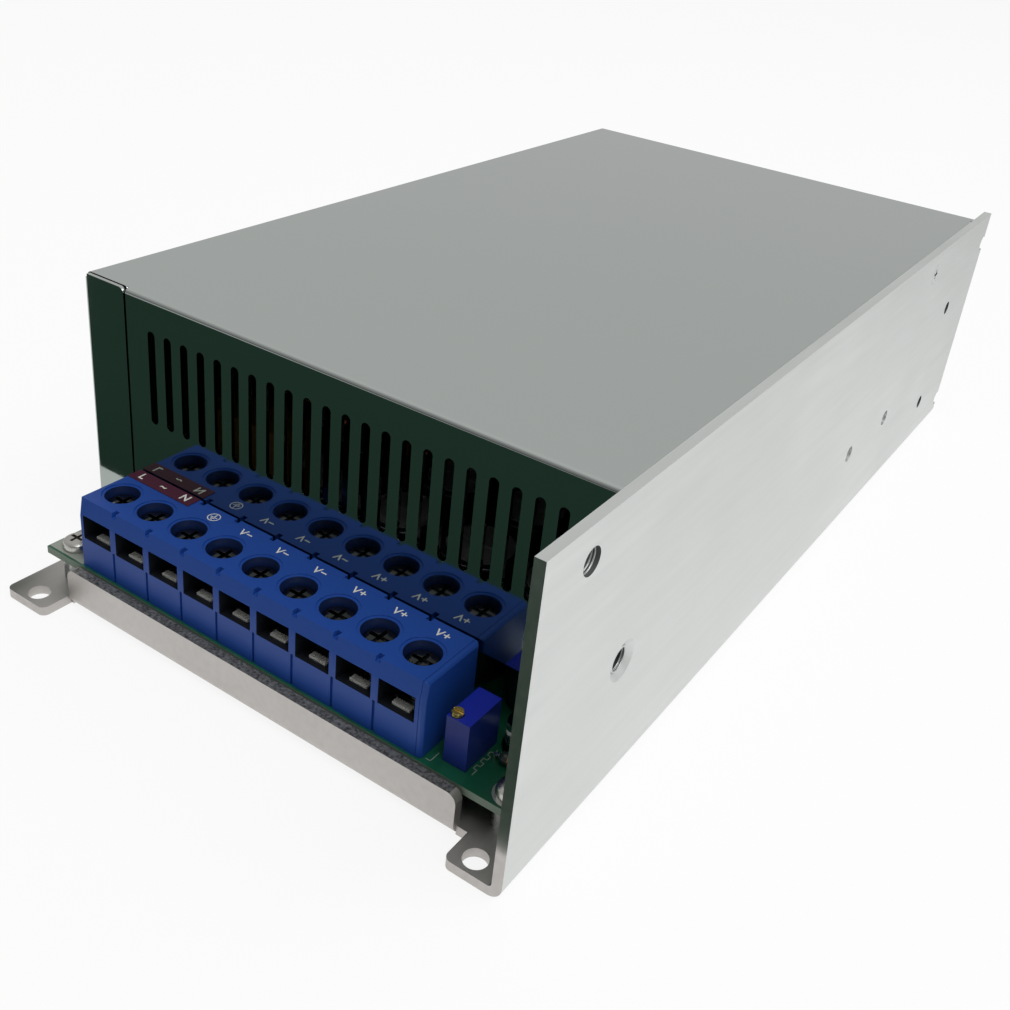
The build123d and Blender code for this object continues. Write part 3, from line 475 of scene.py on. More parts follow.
def places_tree():
    """Copies of the given piece at the corners of another object."""
    tree, w, given = geometry_tree("places", [("Places", "Object")])
    spots = w.add("GeometryNodeObjectInfo", {"Object": given["Places"]}).outputs["Geometry"]
    copies = w.add("GeometryNodeInstanceOnPoints", {"Points": spots, "Instance": given["Geometry"]})
    return close_tree(tree, w, given, copies.outputs[0])


def rings_tree():
    """Round wires in rings about Z, each a step wider than the last."""
    tree, w, given = geometry_tree("wire rings", [("First", "Float"), ("Step", "Float"), ("Count", "Int"),
                                                  ("Wire", "Float")])
    spots = w.add("GeometryNodeMeshLine", {"Count": given["Count"], "Offset": (0, 0, 0)}, mode="OFFSET")
    place = w.add("GeometryNodeInputIndex").outputs[0]
    radius = w.maths("ADD", given["First"], w.maths("MULTIPLY", place, given["Step"]))
    grow = w.add("ShaderNodeCombineXYZ", {"X": radius, "Y": radius, "Z": 1.0}).outputs[0]
    circle = w.add("GeometryNodeCurvePrimitiveCircle", {"Resolution": 96, "Radius": 1.0}).outputs[0]
    rings = w.add("GeometryNodeInstanceOnPoints", {"Points": spots.outputs[0], "Instance": circle,
                                                   "Scale": grow}).outputs[0]
    rings = w.add("GeometryNodeRealizeInstances", {"Geometry": rings}).outputs[0]
    half = w.maths("MULTIPLY", given["Wire"], 0.5)
    section = w.add("GeometryNodeCurvePrimitiveCircle", {"Resolution": 12, "Radius": half}).outputs[0]
    wires = w.add("GeometryNodeCurveToMesh", {"Curve": rings, "Profile Curve": section}).outputs[0]
    return close_tree(tree, w, given, wires)


def turns_tree():
    """Turns of wire round the section of a ring core that lies about Z."""
    tree, w, given = geometry_tree("wound turns", [
        ("Count", "Int"), ("Middle", "Float"), ("Span", "Float"), ("Inner", "Float"), ("Outer", "Float"),
        ("Height", "Float"), ("Wire", "Float")])
    wide = w.maths("SUBTRACT", given["Outer"], given["Inner"])
    loop = w.add("GeometryNodeCurvePrimitiveQuadrilateral", {"Width": wide, "Height": given["Height"]})
    loop = w.add("GeometryNodeFilletCurve", {"Curve": loop.outputs[0], "Count": 5, "Radius": given["Wire"],
                                             "Limit Radius": True}, mode="POLY").outputs[0]
    half_way = w.maths("MULTIPLY", w.maths("ADD", given["Outer"], given["Inner"]), 0.5)
    out = w.add("ShaderNodeCombineXYZ", {"X": half_way, "Y": 0.0, "Z": 0.0}).outputs[0]
    loop = w.add("GeometryNodeTransform", {"Geometry": loop, "Translation": out,
                                           "Rotation": (math.pi / 2, 0, 0)}).outputs[0]
    spots = w.add("GeometryNodeMeshLine", {"Count": given["Count"], "Offset": (0, 0, 0)}, mode="OFFSET")
    steps = w.maths("SUBTRACT", given["Count"], 1.0)
    share = w.maths("SUBTRACT", w.maths("DIVIDE", w.add("GeometryNodeInputIndex").outputs[0], steps), 0.5)
    turn = w.maths("ADD", given["Middle"], w.maths("MULTIPLY", share, given["Span"]))
    turn = w.add("ShaderNodeCombineXYZ", {"X": 0.0, "Y": 0.0, "Z": turn}).outputs[0]
    loops = w.add("GeometryNodeInstanceOnPoints", {"Points": spots.outputs[0], "Instance": loop,
                                                   "Rotation": turn}).outputs[0]
    loops = w.add("GeometryNodeRealizeInstances", {"Geometry": loops}).outputs[0]
    half = w.maths("MULTIPLY", given["Wire"], 0.5)
    section = w.add("GeometryNodeCurvePrimitiveCircle", {"Resolution": 10, "Radius": half}).outputs[0]
    wires = w.add("GeometryNodeCurveToMesh", {"Curve": loops, "Profile Curve": section}).outputs[0]
    return close_tree(tree, w, given, wires)


def thread_tree():
    """A screw's thread about Z, from Z 0 up."""
    tree, w, given = geometry_tree("thread", [("Radius", "Float"), ("Pitch", "Float"), ("Turns", "Float"),
                                              ("Depth", "Float")])
    rise = w.maths("MULTIPLY", given["Pitch"], given["Turns"])
    helix = w.add("GeometryNodeCurveSpiral", {"Resolution": 24, "Rotations": given["Turns"],
                                              "Start Radius": given["Radius"], "End Radius": given["Radius"],
                                              "Height": rise}).outputs[0]
    section = w.add("GeometryNodeCurvePrimitiveCircle", {"Resolution": 4, "Radius": given["Depth"]})
    ridge = w.add("GeometryNodeCurveToMesh", {"Curve": helix, "Profile Curve": section.outputs[0],
                                              "Fill Caps": True}).outputs[0]
    return close_tree(tree, w, given, ridge)


def recess_tree():
    """The given head with a cross recess cut down from its top."""
    tree, w, given = geometry_tree("cross recess", [
        ("Width", "Float"), ("Length", "Float"), ("Depth", "Float"), ("Top", "Float")])
    deep = w.maths("MULTIPLY", given["Depth"], 2.0)
    bars = []
    for across, along in (("Width", "Length"), ("Length", "Width")):
        size = w.add("ShaderNodeCombineXYZ", {"X": given[across], "Y": given[along], "Z": deep})
        bars.append(w.add("GeometryNodeMeshCube", {"Size": size.outputs[0]}).outputs[0])
    lift = w.add("ShaderNodeCombineXYZ", {"X": 0.0, "Y": 0.0, "Z": given["Top"]}).outputs[0]
    cut = given["Geometry"]
    for bar in bars:
        bar = w.add("GeometryNodeTransform", {"Geometry": bar, "Translation": lift}).outputs[0]
        node = w.add("GeometryNodeMeshBoolean", {0: cut}, operation="DIFFERENCE", solver="EXACT")
        w.tree.links.new(bar, node.inputs["Mesh 2"])
        cut = node.outputs[0]
    return close_tree(tree, w, given, cut)


TREES = {"row": row_tree(), "places": places_tree(), "rings": rings_tree(), "turns": turns_tree(),
         "thread": thread_tree(), "recess": recess_tree()}
LENGTHS = ("Step", "First", "Wire", "Inner", "Outer", "Height", "Radius", "Pitch", "Depth", "Width", "Length",
           "Top")


def grown(name, tree, slot, seed=None, **sizes):
    """A plain mesh from one of the trees. Lengths are given in millimetres."""
    piece = bpy.data.objects.new(name, seed or bpy.data.meshes.new(name))
    bpy.context.scene.collection.objects.link(piece)
    modifier = piece.modifiers.new("grow", "NODES")
    modifier.node_group = TREES[tree]
    sizes["Finish"] = FINISH[slot]
    for item in TREES[tree].interface.items_tree:
        if item.in_out == "INPUT" and item.name in sizes:
            value = sizes[item.name]
            if item.name in LENGTHS:
                value = [v * MM for v in value] if isinstance(value, tuple) else value * MM
            modifier[item.identifier] = value
    reader = bpy.context.evaluated_depsgraph_get()
    mesh = bpy.data.meshes.new_from_object(piece.evaluated_get(reader), depsgraph=reader)
    piece.modifiers.remove(modifier)
    bpy.data.objects.remove(piece)
    mesh.name = name
    return mesh


def spread(name, seed, places, slot):
    """Copies of a seed mesh at places in millimetres, by the places tree."""
    spots = bpy.data.meshes.new(name + "_places")
    spots.from_pydata([tuple(Vector(p) * MM) for p in places], [], [])
    marker = bpy.data.objects.new(name + "_places", spots)
    bpy.context.scene.collection.objects.link(marker)
    mesh = grown(name, "places", slot, seed, Places=marker)
    bpy.data.objects.remove(marker)
    return mesh


# Case

def case_sheets():
    """Chassis with its rolled and sheared faces told apart and painted shade on its base, lip, front wall
    edge and hole walls, and the cover with painted shade on its inner faces and its front.
    """
    sheet, lip_top, lip_reach, skin, facing = 2.0, 9.2, 9, 0.2, 0.7
    low, high = box_of("chassis")
    inner_face = high.x - sheet
    screws_low, screws_high = box_of("clamp_screws")
    chassis = dressed("chassis", 0.14)
    # painted shade on the base and lip of the chassis sheet
    repaint(chassis, "base_sheet_painted_shade", lambda at, way: at.x < inner_face and at.z < lip_top + 0.1)
    # painted shade on the wall's front cut edge
    repaint(chassis, "wall_edge_painted_shade", lambda at, way: (
        way.y < -facing and at.y < low.y + skin and at.x > inner_face))
    repaint(chassis, "sheared_edge", lambda at, way: (
        (way.x > 0.3 and way.z > 0.3 and at.z > high.z - 0.3)
        or (way.z > facing and abs(at.z - lip_top) < 0.1 and at.y < low.y + lip_reach)))
    repaint(chassis, "hole_shade", lambda at, way: (
        abs(way.x) < 0.5 and inner_face + skin < at.x < high.x - skin
        and abs(at.y) < high.y - 0.8 and 1 < at.z < high.z - 0.8
        and not (screws_low.z < at.z < screws_high.z and screws_low.y < at.y < screws_high.y)))
    low, high = box_of("cover")
    near = 1.5
    cover = dressed("cover", 0.10)
    # painted shade on the cover's inner faces
    repaint(cover, "inside_painted_shade", lambda at, way: (
        (way.z < -facing and at.z > high.z - near) or (way.y > facing and at.y < low.y + near)
        or (way.x > facing and at.x < low.x + near) or (way.x < -facing and at.x > high.x - near)
        or (way.y < -facing and at.y > high.y - near)))
    # painted shade on the cover's front face
    repaint(cover, "cover_front_painted_shade", lambda at, way: way.y < -0.9 and at.y < low.y + 0.4)


def screw_seed(name, profile, slot, recess, top, steps=32):
    """A turned screw with a cross recess, given by its width, length and depth."""
    width, length, depth = recess
    seed = Shape().lathe(profile, steps).mesh(name)
    mesh = grown(name, "recess", slot, seed, Width=width, Length=length, Depth=depth, Top=top)
    shade(mesh)
    return mesh


def pan_profile(radius, height, shank, length):
    """Screw with a domed head on Z 0 and a blunt tip, as (radius, height) points."""
    dome = [(0, height), (0.45 * radius, height), (0.74 * radius, 0.93 * height),
            (0.92 * radius, 0.74 * height), (radius, 0.42 * height), (radius, 0)]
    return dome + [(shank, 0), (shank, 0.3 - length), (0.7 * shank, -length), (0, -length)]


def board_screw_pieces():
    """Pan head screws, the solder lands under them, the bare land at the front left corner, and the board."""
    head, rise, shank, length = 3.0, 2.2, 1.5, 6.0
    low, high = box_of("board_screws")
    profile = pan_profile(head, rise, shank, length)
    seed = screw_seed("board_screw", profile, "nickel_screw", (0.7, 3.2, 1.2), rise)
    places = [(x, y, high.z - rise) for x in (low.x + head, high.x - head)
              for y in (low.y + head, (low.y + high.y) / 2, high.y - head)]
    mesh = spread("board_screw_set", seed, places, "nickel_screw")
    add_fixed("board_screw_set", mesh, "nickel_screw", "board_screws")
    bore, rim, thick = 1.6, 3.5, 0.04
    land = [(bore, 0), (rim, 0), (rim, thick), (bore, thick), (bore, 0)]
    land = Shape().lathe(land, 40).mesh("screw_land")
    board_low, board_high = box_of("main_circuit_board")
    mesh = spread("screw_lands", land, [(x, y, board_high.z) for x, y, _ in places[1:]], "tinned_metal")
    add_fixed("screw_lands", mesh, "tinned_metal")
    block_left = box_of("terminal_housing")[0].x
    corner = Shape().box(board_low.x + 0.2, block_left - 0.5, board_low.y + 0.5, board_low.y + 15.5,
                         board_high.z, board_high.z + 0.05)
    add_fixed("corner_land", painted(corner.mesh("corner_land"), "pale_land"), "tinned_metal")
    board = dressed("main_circuit_board", 0.2)
    repaint(board, "glass_fibre", lambda at, way: -0.95 < way.z < 0.9)


def cover_screw_pieces():
    """Three countersunk screws along the left side and one in the tall wall."""
    head, shank, tip, length = 2.5, 1.5, 1.1, 5.0
    profile = [(0, 0), (head, 0), (head, -0.08), (shank, -0.8), (shank, 0.3 - length), (tip, -length),
               (0, -length)]
    seed = screw_seed("cover_screw", profile, "zinc_screw", (0.55, 2.6, 0.75), 0)
    low, high = box_of("cover_screws")
    along_left = [(low.x, y, 5.2) for y in (-75.0, 10.0, 95.0)]
    in_wall = [(high.x, 69.1, 59.0)]
    meshes = []
    for angle, places in ((-90, along_left), (90, in_wall)):
        turn = Matrix.Rotation(math.radians(angle), 4, "Y")
        meshes += [moved(seed.copy(), Matrix.Translation(place) @ turn) for place in places]
    add_fixed("cover_screw_set", join_meshes("cover_screw_set", meshes), "zinc_screw", "cover_screws")


def clamp_screw_pieces():
    """Screws of the clamp bar, their threaded ends sunk in the tall wall."""
    low, high = box_of("clamp_screws")
    slot = SLOT_OF["clamp_screws"]
    radius, head, sunk, pitch = 3.5, 3.0, 1.0, 0.7
    length = high.x - low.x - head - sunk
    seed = screw_seed("clamp_screw", pan_profile(radius, head, 1.7, length), slot, (0.9, 4.2, 1.4), head)
    ridge = grown("clamp_thread", "thread", slot, Radius=1.75, Pitch=pitch, Turns=(length - 1) / pitch,
                  Depth=0.24)
    whole = join_meshes("clamp_screw", [seed, moved(ridge, Matrix.Translation((0, 0, 0.35 - length)))])
    turn = Matrix.Rotation(math.radians(-90), 4, "Y")
    meshes = [moved(whole.copy(), Matrix.Translation((low.x + head, y, (low.z + high.z) / 2)) @ turn)
              for y in (low.y + radius, high.y - radius)]
    add_fixed("clamp_screw_set", join_meshes("clamp_screw_set", meshes), slot, "clamp_screws")


def tapped_hole_threads():
    """Thread inside the tapped holes of the tall wall: two in front, two over the clamp screws."""
    right = box_of("chassis")[1].x
    low, high = box_of("clamp_screws")
    screw_z, from_edge, sunk = 22.5, 3.5, 1.85
    holes = ((-106.2, 58.2, 2.5), (-88.6, 29.5, 2.5), (low.y + from_edge, screw_z, 2.08),
             (high.y - from_edge, screw_z, 2.08))
    turn = Matrix.Rotation(math.radians(90), 4, "Y")
    meshes = []
    for y, z, radius in holes:
        ridge = grown("tapped_thread", "thread", "aluminium_sheet", Radius=radius, Pitch=0.5, Turns=2.6,
                      Depth=0.2)
        meshes.append(moved(ridge, Matrix.Translation((right - sunk, y, z)) @ turn))
    add_fixed("tapped_threads", join_meshes("tapped_threads", meshes), "aluminium_sheet")


# Terminal block

def pole_x(number):
    return centre_of("terminal_screw_%d" % number).x


def terminal_screw_pieces():
    """Head with a cross recess, and a threaded shank as thick as the solid's."""
    head, shank, pitch = 2.2, 1.72, 0.7
    low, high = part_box("terminal_screw_1")
    seat = high.z / MM - head
    tip = low.z / MM - seat
    y = centre_of("terminal_screw_1").y
    profile = [(0, head), (2.75, head), (3.0, 2.05), (3.1, 1.75), (3.1, 0), (shank, 0), (shank, 0.3 + tip),
               (1.3, tip), (0, tip)]
    # painted shade: the screw's nickel is darkened as if shaded in its well
    seed = screw_seed("terminal_screw", profile, "nickel_painted_shade", (0.9, 4.4, 1.1), head, 40)
    ridge = grown("terminal_thread", "thread", "nickel_painted_shade", Radius=1.76, Pitch=pitch,
                  Turns=(-tip - 0.9) / pitch, Depth=0.24)
    whole = join_meshes("terminal_screw", [seed, moved(ridge, Matrix.Translation((0, 0, tip + 0.45)))])
    for number in range(1, POLES + 1):
        name = "terminal_screw_%d" % number
        mesh = moved(whole.copy(), Matrix.Translation((pole_x(number), y, seat)))
        adopt(new_piece(name + "_threaded", mesh, "nickel_screw"), BODY_OF[name], "nickel_screw", name)


def contact_ridges():
    """Ridged tongue that lies on the sill in front of each contact, clear of the sinking clamp plate, in tin
    with painted light.
    """
    low, high = box_of("terminal_contacts")
    sill, half, reach, ribs = 0.42, 1.9, 1.6, 8
    plate_front = box_of("clamp_plate_1")[0].y - low.y
    back = min(0.0, plate_front) - 0.1
    rib = Shape().box(-0.14, 0.14, -reach, back, sill + 0.1, sill + 0.5).mesh("contact_rib")
    step = (2 * half - 0.3) / (ribs - 1)
    row = grown("contact_rib_row", "row", "tin_painted_light", rib, Count=ribs, Step=(step, 0, 0))
    row = moved(row, Matrix.Translation((0.15 - half, 0, 0)))
    pad = Shape().box(-half, half, -reach, back, sill, sill + 0.25)
    whole = join_meshes("contact_grip", [row, painted(pad.mesh("contact_pad"), "tin_painted_light")])
    places = [(pole_x(n), low.y, high.z) for n in range(1, POLES + 1)]
    add_fixed("contact_grips", spread("contact_grips", whole, places, "tin_painted_light"), "tinned_metal")


def letters(text, height, x, y, z, bold=0.0):
    """Flat generic lettering that reads along X, its capitals as high as asked."""
    curve = bpy.data.curves.new("letters", "FONT")
    curve.body = text
    curve.align_x = "CENTER"
    curve.align_y = "CENTER"
    curve.offset = bold
    curve.extrude = 0.01
    curve.resolution_u = 4
    holder = bpy.data.objects.new("letters", curve)
    bpy.context.scene.collection.objects.link(holder)
    reader = bpy.context.evaluated_depsgraph_get()
    mesh = bpy.data.meshes.new_from_object(holder.evaluated_get(reader), depsgraph=reader)
    bpy.data.objects.remove(holder)
    capital_share = 0.72
    size = height / capital_share
    mesh.transform(Matrix.Translation(Vector((x, y, z)) * MM) @ Matrix.Scale(size * MM, 4))
    return painted(mesh, "header_white")


def earth_sign(x, y, z, radius):
    """Protective earth: bars of falling length under a stem, in a circle."""
    line, top = 0.18, z + 0.03
    shape = Shape()
    shape.lathe([(radius - line, z), (radius, z), (radius, top), (radius - line, top), (radius - line, z)],
                40, Matrix.Translation((x, y, 0)))
    shape.box(x - line / 2, x + line / 2, y, y + 0.78 * radius, z, top)
    for step, half in ((0, 0.62), (1, 0.40), (2, 0.18)):
        level = y - step * 0.30 * radius
        shape.box(x - half * radius, x + half * radius, level - line / 2, level + line / 2, z, top)
    return painted(shape.mesh("earth_sign"), "header_white")


def terminal_marks():
    """White marks behind the screw wells and on the label, all generic."""
    earth_pole, last_minus, row_y = 3, 6, -98.1
    top = box_of("terminal_housing")[1].z + 0.01
    marks = [earth_sign(pole_x(earth_pole) + 0.5, row_y + 0.1, top, 1.35)]
    for number in range(earth_pole + 1, POLES + 1):
        text = "V+" if number > last_minus else "V−"
        marks.append(letters(text, 1.9, pole_x(number) - 0.2, row_y, top + 0.01, 0.012))
    low, high = box_of("terminal_label")
    from_end = 2.6
    for text, x in (("L", low.x + from_end), ("N", high.x - from_end), ("~", (low.x + high.x) / 2)):
        marks.append(letters(text, 2.0, x, (low.y + high.y) / 2, high.z + 0.01, 0.02))
    add_fixed("terminal_marks", join_meshes("terminal_marks", marks), "header_white")


def terminal_block():
    """Housing with painted shade in its wells and windows, its end plate, and what each pole holds."""
    low, high = box_of("terminal_housing")
    housing = dressed("terminal_housing", 0.16)
    window_top, inside = 21.3, 0.6
    repaint(housing, "nylon_shade", lambda at, way: (
        window_top < at.z < high.z - inside and abs(way.z) < 0.5
        and low.x + inside < at.x < high.x - inside and low.y + 1.6 < at.y < high.y - inside))
    repaint(housing, "window_shade", lambda at, way: (
        low.z + inside < at.z <= window_top + 0.1
        and low.x + inside < at.x < high.x - inside and low.y + 0.9 < at.y < high.y - inside))
    dressed("terminal_end_plate", 0.16)
    for number in range(1, POLES + 1):
        dressed("clamp_plate_%d" % number, 0.12)
    terminal_screw_pieces()
    contact_ridges()
    terminal_marks()


# Front controls and the marks on the board

def board_marks():
    """Pale print on the board: a corner mark and a square wave beside the trimmer."""
    z = box_of("main_circuit_board")[1].z
    high, line = z + 0.03, 0.15
    shape = Shape()
    corner = Vector((40.2, -110.0))
    shape.box(corner.x - 1.1, corner.x, corner.y, corner.y + line, z, high)
    shape.box(corner.x - line, corner.x, corner.y, corner.y + 2.6, z, high)
    trimmer_low, trimmer_high = box_of("trimpot_body")
    near = trimmer_high.x + 0.35
    far = near + 0.9
    y, lead, half_wave, waves = trimmer_low.y + 0.3, 1.4, 1.05, 6
    shape.box(far - line, far, y, y + lead, z, high)
    y += lead
    for i in range(waves):
        side = near if i % 2 == 0 else far - line
        shape.box(near, far, y, y + line, z, high)
        shape.box(side, side + line, y, y + half_wave + line, z, high)
        y += half_wave
    add_fixed("board_marks", painted(shape.mesh("board_marks"), "pale_land"), "header_white")


def light_inside():
    """Leads of the indicator and its cup inside the clear lens."""
    low, high = box_of("power_led")
    x, y, z = (low.x + high.x) / 2, (low.y + high.y) / 2, low.z
    cup_x = x - 0.5
    cup = Shape().lathe([(0, z + 1.4), (1.0, z + 1.4), (1.15, z + 3.2), (0.7, z + 2.9), (0, z + 2.8)], 20,
                        Matrix.Translation((cup_x, y, 0)))
    cup.box(x + 0.9, x + 1.4, y - 0.25, y + 0.25, z + 0.4, z + 3.4)
    cup.rod((cup_x, y, z + 0.3), (cup_x, y, z + 1.5), 0.3)
    add_fixed("led_cup", painted(cup.mesh("led_cup"), "tinned_metal"), "tinned_metal")


def leaded_resistor():
    """Coated body with its colour bands, on bent leads."""
    low, high = box_of("led_resistor")
    y, board = (low.y + high.y) / 2, low.z
    wire, bend = 0.3, 0.45
    axis = board + 1.2
    start, end = low.x + wire, high.x - wire
    route = []
    for side, corner in ((1, start), (-1, end)):
        points = [(corner, y, board), (corner, y, axis - bend),
                  (corner + side * 0.3 * bend, y, axis - 0.3 * bend), (corner + side * bend, y, axis)]
        route += points if side == 1 else points[::-1]
    leads = painted(Shape().pipe(route, wire).mesh("resistor_wire"), "tinned_metal")
    half = 3.15
    outline = [(0, -half), (0.7, -half), (1.05, -half + 0.25), (1.2, -half + 0.8), (1.12, -half + 1.5),
               (1.02, -half + 1.9), (1.02, half - 1.9), (1.12, half - 1.5), (1.2, half - 0.8),
               (1.05, half - 0.25), (0.7, half), (0, half)]
    place = Matrix.Translation(((start + end) / 2, y, axis)) @ Matrix.Rotation(math.radians(90), 4, "Y")
    body = painted(Shape().lathe(outline, 28, place).mesh("resistor_coat"), "resistor_body")
    under, over, wide = 1.0, 1.07, 0.22
    bands = []
    for at, slot in ((-1.5, "copper_wire"), (-0.6, "moulded_black"), (0.3, "lead_red"), (1.4, "brass_screw")):
        ring = [(under, at - wide), (over, at - wide), (over, at + wide), (under, at + wide),
                (under, at - wide)]
        bands.append(painted(Shape().lathe(ring, 28, place).mesh("resistor_band"), slot))
    mesh = join_meshes("led_resistor_leaded", [body, leads] + bands)
    add_fixed("led_resistor_leaded", mesh, "resistor_body", "led_resistor")


def front_controls():
    body = dressed("trimpot_body", 0.22)
    # painted light on the trimmer's top, painted shade on its sides
    repaint(body, "trimmer_top_painted_light", lambda at, way: way.z > 0.8)
    dressed("trimpot_screw", 0.06)
    light_inside()
    leaded_resistor()
    board_marks()


# Fan

def fan_guard_piece():
    """Round wires: rings outside, four spokes under them and an eye at each screw."""
    centre = centre_of("fan_guard")
    spoke_y, ring_y = 112.8, 114.1
    reach = 25.0 * math.sqrt(2)
    wire, eye, inner_end, first, rings = 0.8, 2.9, 7.3, 8.0, 4
    step = (reach - 5.3 - first) / (rings - 1)
    turn = Matrix.Rotation(math.radians(-90), 4, "X")
    ring_wires = grown("guard_rings", "rings", "plated_wire", First=first, Step=step, Count=rings,
                       Wire=2 * wire)
    ring_wires = moved(ring_wires, Matrix.Translation((centre.x, ring_y, centre.z)) @ turn)
    hub = Vector((centre.x, spoke_y, centre.z))
    shape = Shape()
    for angle in (45, 135, 225, 315):
        way = Vector((math.cos(math.radians(angle)), 0, math.sin(math.radians(angle))))
        shape.rod(hub + way * inner_end, hub + way * (reach - eye + 0.4), wire)
        shape.torus(eye, wire, Matrix.Translation(hub + way * reach) @ turn)
    spokes = painted(shape.mesh("guard_spokes"), "plated_wire")
    shade(ring_wires)
    mesh = join_meshes("fan_guard_wires", [ring_wires, spokes])
    add_fixed("fan_guard_wires", mesh, "plated_wire", "fan_guard")


def fan_screw_pieces():
    low, high = box_of("fan_screws")
    head, radius = 2.4, 3.5
    seed = screw_seed("fan_screw", pan_profile(radius, head, 2.0, 12.0), "zinc_screw", (0.8, 3.8, 1.3), head)
    seed = moved(seed, Matrix.Rotation(math.radians(-90), 4, "X"))
    places = [(x, high.y - head, z) for x in (low.x + radius, high.x - radius)
              for z in (low.z + radius, high.z - radius)]
    mesh = spread("fan_screw_set", seed, places, "zinc_screw")
    add_fixed("fan_screw_set", mesh, "zinc_screw", "fan_screws")


def fan_pieces():
    dressed("fan_frame", 0.2)
    dressed("fan_rotor", 0.12)
    fan_guard_piece()
    fan_screw_pieces()


# Inside the case

def wound_piece(node, core_node, rim, count):
    """Turns of round wire on both halves of a ring core, given the width of its rim."""
    low, high = box_of(core_node)
    outer = (high.x - low.x) / 2
    gap, wire, arc = 1.2, 2.2, math.radians(124)
    halves = [grown(node, "turns", "copper_wire", Count=count, Middle=middle, Span=arc, Wire=wire,
                    Inner=outer - rim - gap, Outer=outer + gap, Height=high.z - low.z + 2 * gap)
              for middle in (0.0, math.pi)]
    mesh = moved(join_meshes(node + "_turns", halves), Matrix.Translation(centre_of(core_node)))
    shade(mesh)
    add_fixed(node + "_turns", mesh, "copper_wire", node)


def can_tops(node, radius, places):
    """Bare aluminium tops of the cans inside the rolled edge of their sleeves, scored to vent."""
    top = box_of(node)[1].z
    rim, thick, score, line = radius - 1.6, 0.12, radius * 0.6, 0.15
    cap = Shape().lathe([(0, 0), (rim, 0), (rim, thick), (0, thick)], 40).mesh("can_cap")
    marks = Shape().box(-score, score, -line, line, thick, thick + 0.04)
    marks.box(-line, line, -score, score, thick, thick + 0.04)
    cap = join_meshes("can_cap", [painted(cap, "aluminium_sheet"),
                                  painted(marks.mesh("can_score"), "aluminium_sheet")])
    mesh = spread(node + "_tops", cap, [(x, y, top) for x, y in places], "aluminium_sheet")
    add_fixed(node + "_tops", mesh, "aluminium_sheet")
    dressed(node, 0.7, 3)


def inner_parts():
    """Windings and cans in their real form, and the other inner parts with eased edges."""
    wound_piece("line_choke_winding", "line_choke_core", rim=6.0, count=6)
    wound_piece("output_choke_winding", "output_choke_core", rim=11.0, count=13)
    low, high = box_of("bulk_capacitors")
    x, radius = (low.x + high.x) / 2, 15.0
    can_tops("bulk_capacitors", radius, [(x, low.y + radius), (x, high.y - radius)])
    low, _ = box_of("output_capacitors")
    radius, pitch = 8.0, 17.5
    can_tops("output_capacitors", radius, [(low.x + radius + pitch * i, low.y + radius + pitch * j)
                                           for i in range(3) for j in range(2)])
    for node, width in (("x_capacitor", 0.5), ("y_capacitors", 0.9), ("inrush_thermistor", 0.9),
                        ("bridge_rectifier", 0.3), ("transformer_core", 0.4), ("drive_transformer", 0.4),
                        ("power_transistors", 0.2), ("rectifier_diodes", 0.2), ("control_chips", 0.3),
                        ("fan_header", 0.3), ("line_choke_core", 0.6), ("output_choke_core", 0.6)):
        dressed(node, width)


# Stage

def stage_plane(name, corners, material):
    mesh = bpy.data.meshes.new(name)
    mesh.from_pydata([Vector(c) * MM for c in corners], [], [range(len(corners))])
    mesh.materials.append(material)
    piece = bpy.data.objects.new(name, mesh)
    bpy.context.scene.collection.objects.link(piece)
    return piece


def floor_and_card():
    """Pale floor, even where it is seen or mirrored, and a dark green card that only gloss sees."""
    far, level = 12000, -0.2
    floor = [(-far, -far, level), (far, -far, level), (far, far, level), (-far, far, level)]
    material, wiring, shader = finish("pale_floor", (0.93, 0.93, 0.93), 0.9)
    rays = wiring.add("ShaderNodeLightPath").outputs
    seen = wiring.maths("MAXIMUM", rays["Is Camera Ray"], rays["Is Glossy Ray"])
    seen = wiring.maths("MAXIMUM", seen, rays["Is Transmission Ray"])
    place = wiring.add("ShaderNodeTexCoord").outputs["Object"]
    reach = wiring.add("ShaderNodeVectorMath", {0: place}, operation="LENGTH").outputs["Value"]
    dimmed = wiring.add("ShaderNodeMapRange", {"Value": reach, "From Min": 0.14, "From Max": 0.55,
                                               "To Min": 1.0, "To Max": 0.62}).outputs["Result"]
    strength = wiring.maths("MAXIMUM", dimmed, rays["Is Camera Ray"])
    glow = wiring.add("ShaderNodeEmission", {"Color": (1, 1, 1, 1), "Strength": strength}).outputs[0]
    own_light = 0.86
    mixed = wiring.add("ShaderNodeMixShader", {0: wiring.maths("MULTIPLY", seen, own_light)})
    wiring.feed(mixed.inputs[1], shader.outputs[0])
    wiring.feed(mixed.inputs[2], glow)
    wiring.feed(material.node_tree.nodes["Material Output"].inputs["Surface"], mixed.outputs[0])
    stage_plane("floor", floor, material)
    card_z = 9.5
    outline = ((-185, -1200), (140, -1200), (140, -121.5), (-63, -121.5), (-63, -107), (-84, -107),
               (-185, -183))
    card = stage_plane("green_card", [(x, y, card_z) for x, y in outline],
                       plain("green_card", (0.014, 0.056, 0.034), 0.9))
    card.visible_camera = False
    card.visible_diffuse = False
    card.visible_shadow = False
    card.visible_transmission = False


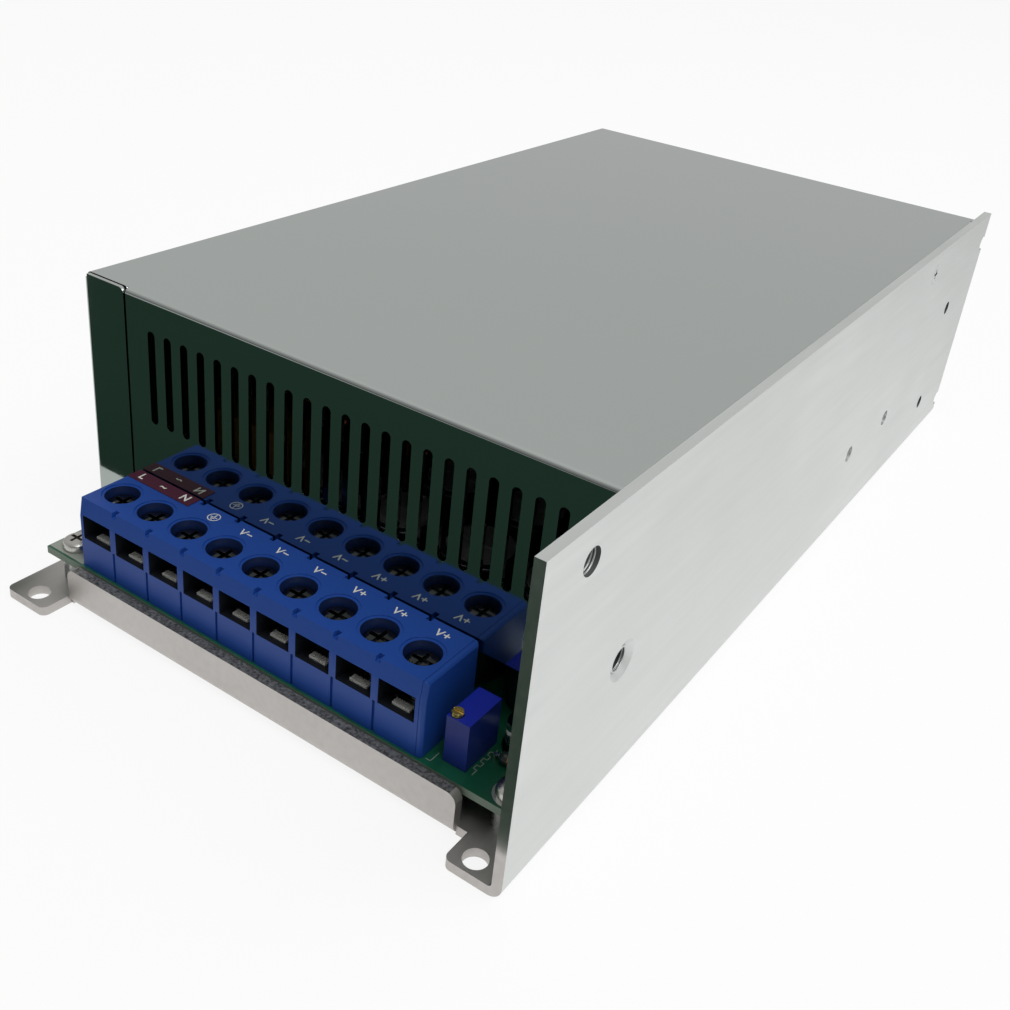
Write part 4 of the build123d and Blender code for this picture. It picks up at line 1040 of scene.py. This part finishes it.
def studio_air():
    """Soft even surroundings, darker in front where the case faces."""
    world = bpy.data.worlds.new("studio_air")
    bpy.context.scene.world = world
    world.use_nodes = True
    wiring = Wiring(world.node_tree)
    way = wiring.add("ShaderNodeTexCoord").outputs["Generated"]
    parts = wiring.add("ShaderNodeSeparateXYZ", {"Vector": way}).outputs
    ramp = wiring.add("ShaderNodeValToRGB", {"Fac": parts["Z"]})
    ramp.color_ramp.interpolation = "B_SPLINE"
    stops = ramp.color_ramp.elements
    stops[0].position, stops[0].color = 0.0, (0.34, 0.34, 0.34, 1)
    stops[1].position, stops[1].color = 1.0, (0.66, 0.66, 0.66, 1)
    stops.new(0.12).color = (0.54, 0.54, 0.535, 1)
    stops.new(0.40).color = (0.55, 0.555, 0.55, 1)
    front = wiring.add("ShaderNodeMapRange", {"Value": parts["Y"], "From Min": -1.0, "From Max": 0.0,
                                              "To Min": 0.30, "To Max": 1.0}, interpolation_type="SMOOTHSTEP")
    air = world.node_tree.nodes["Background"].inputs
    wiring.feed(air["Color"], ramp.outputs["Color"])
    wiring.feed(air["Strength"], front.outputs["Result"])


def soft_light(name, place, size, power):
    lamp = bpy.data.lights.new(name, "AREA")
    lamp.shape = "DISK"
    lamp.size = size * MM
    lamp.energy = power
    holder = bpy.data.objects.new(name, lamp)
    bpy.context.scene.collection.objects.link(holder)
    place = Vector(place) * MM
    aimed = place.to_track_quat("Z", "Y").to_matrix().to_4x4()
    holder.matrix_world = Matrix.Translation(place) @ aimed


def photo_camera():
    """Camera at the photograph's place, with the small shift of its framing."""
    place = Vector((124.037, -235.943, 151.297)) * MM
    azimuth, drop, roll = 0.547, 0.487, 0.109
    focal, middle_x, middle_y, frame_size = 1176.5, 501.15, 443.9, 1010
    forward = Vector((-math.sin(azimuth) * math.cos(drop), math.cos(azimuth) * math.cos(drop),
                      -math.sin(drop)))
    right = forward.cross(UP).normalized()
    up = right.cross(forward)
    leaned_right = math.cos(roll) * right + math.sin(roll) * up
    leaned_up = math.cos(roll) * up - math.sin(roll) * right
    turn = Matrix((leaned_right, leaned_up, -forward)).transposed().to_4x4()
    lens = bpy.data.cameras.new("photo_camera")
    lens.sensor_width = 36
    lens.lens = focal / frame_size * lens.sensor_width
    lens.shift_x = (frame_size / 2 - middle_x) / frame_size
    lens.shift_y = (middle_y - frame_size / 2) / frame_size
    lens.clip_start, lens.clip_end = 0.01, 50
    camera = bpy.data.objects.new("photo_camera", lens)
    camera.matrix_world = Matrix.Translation(place) @ turn
    bpy.context.scene.collection.objects.link(camera)
    bpy.context.scene.camera = camera


for node, solid in nodes.items():
    solid.data.materials.clear()
    solid.data.materials.append(FINISH[SLOT_OF[node]])

case_sheets()
board_screw_pieces()
cover_screw_pieces()
clamp_screw_pieces()
tapped_hole_threads()
terminal_block()
front_controls()
fan_pieces()
inner_parts()
floor_and_card()
studio_air()
soft_light("key_light", (650, -350, 1500), size=900, power=9.3)
soft_light("fill_light", (900, 500, 1300), size=900, power=4.0)
photo_camera()
bpy.context.scene.view_settings.view_transform = "Standard"
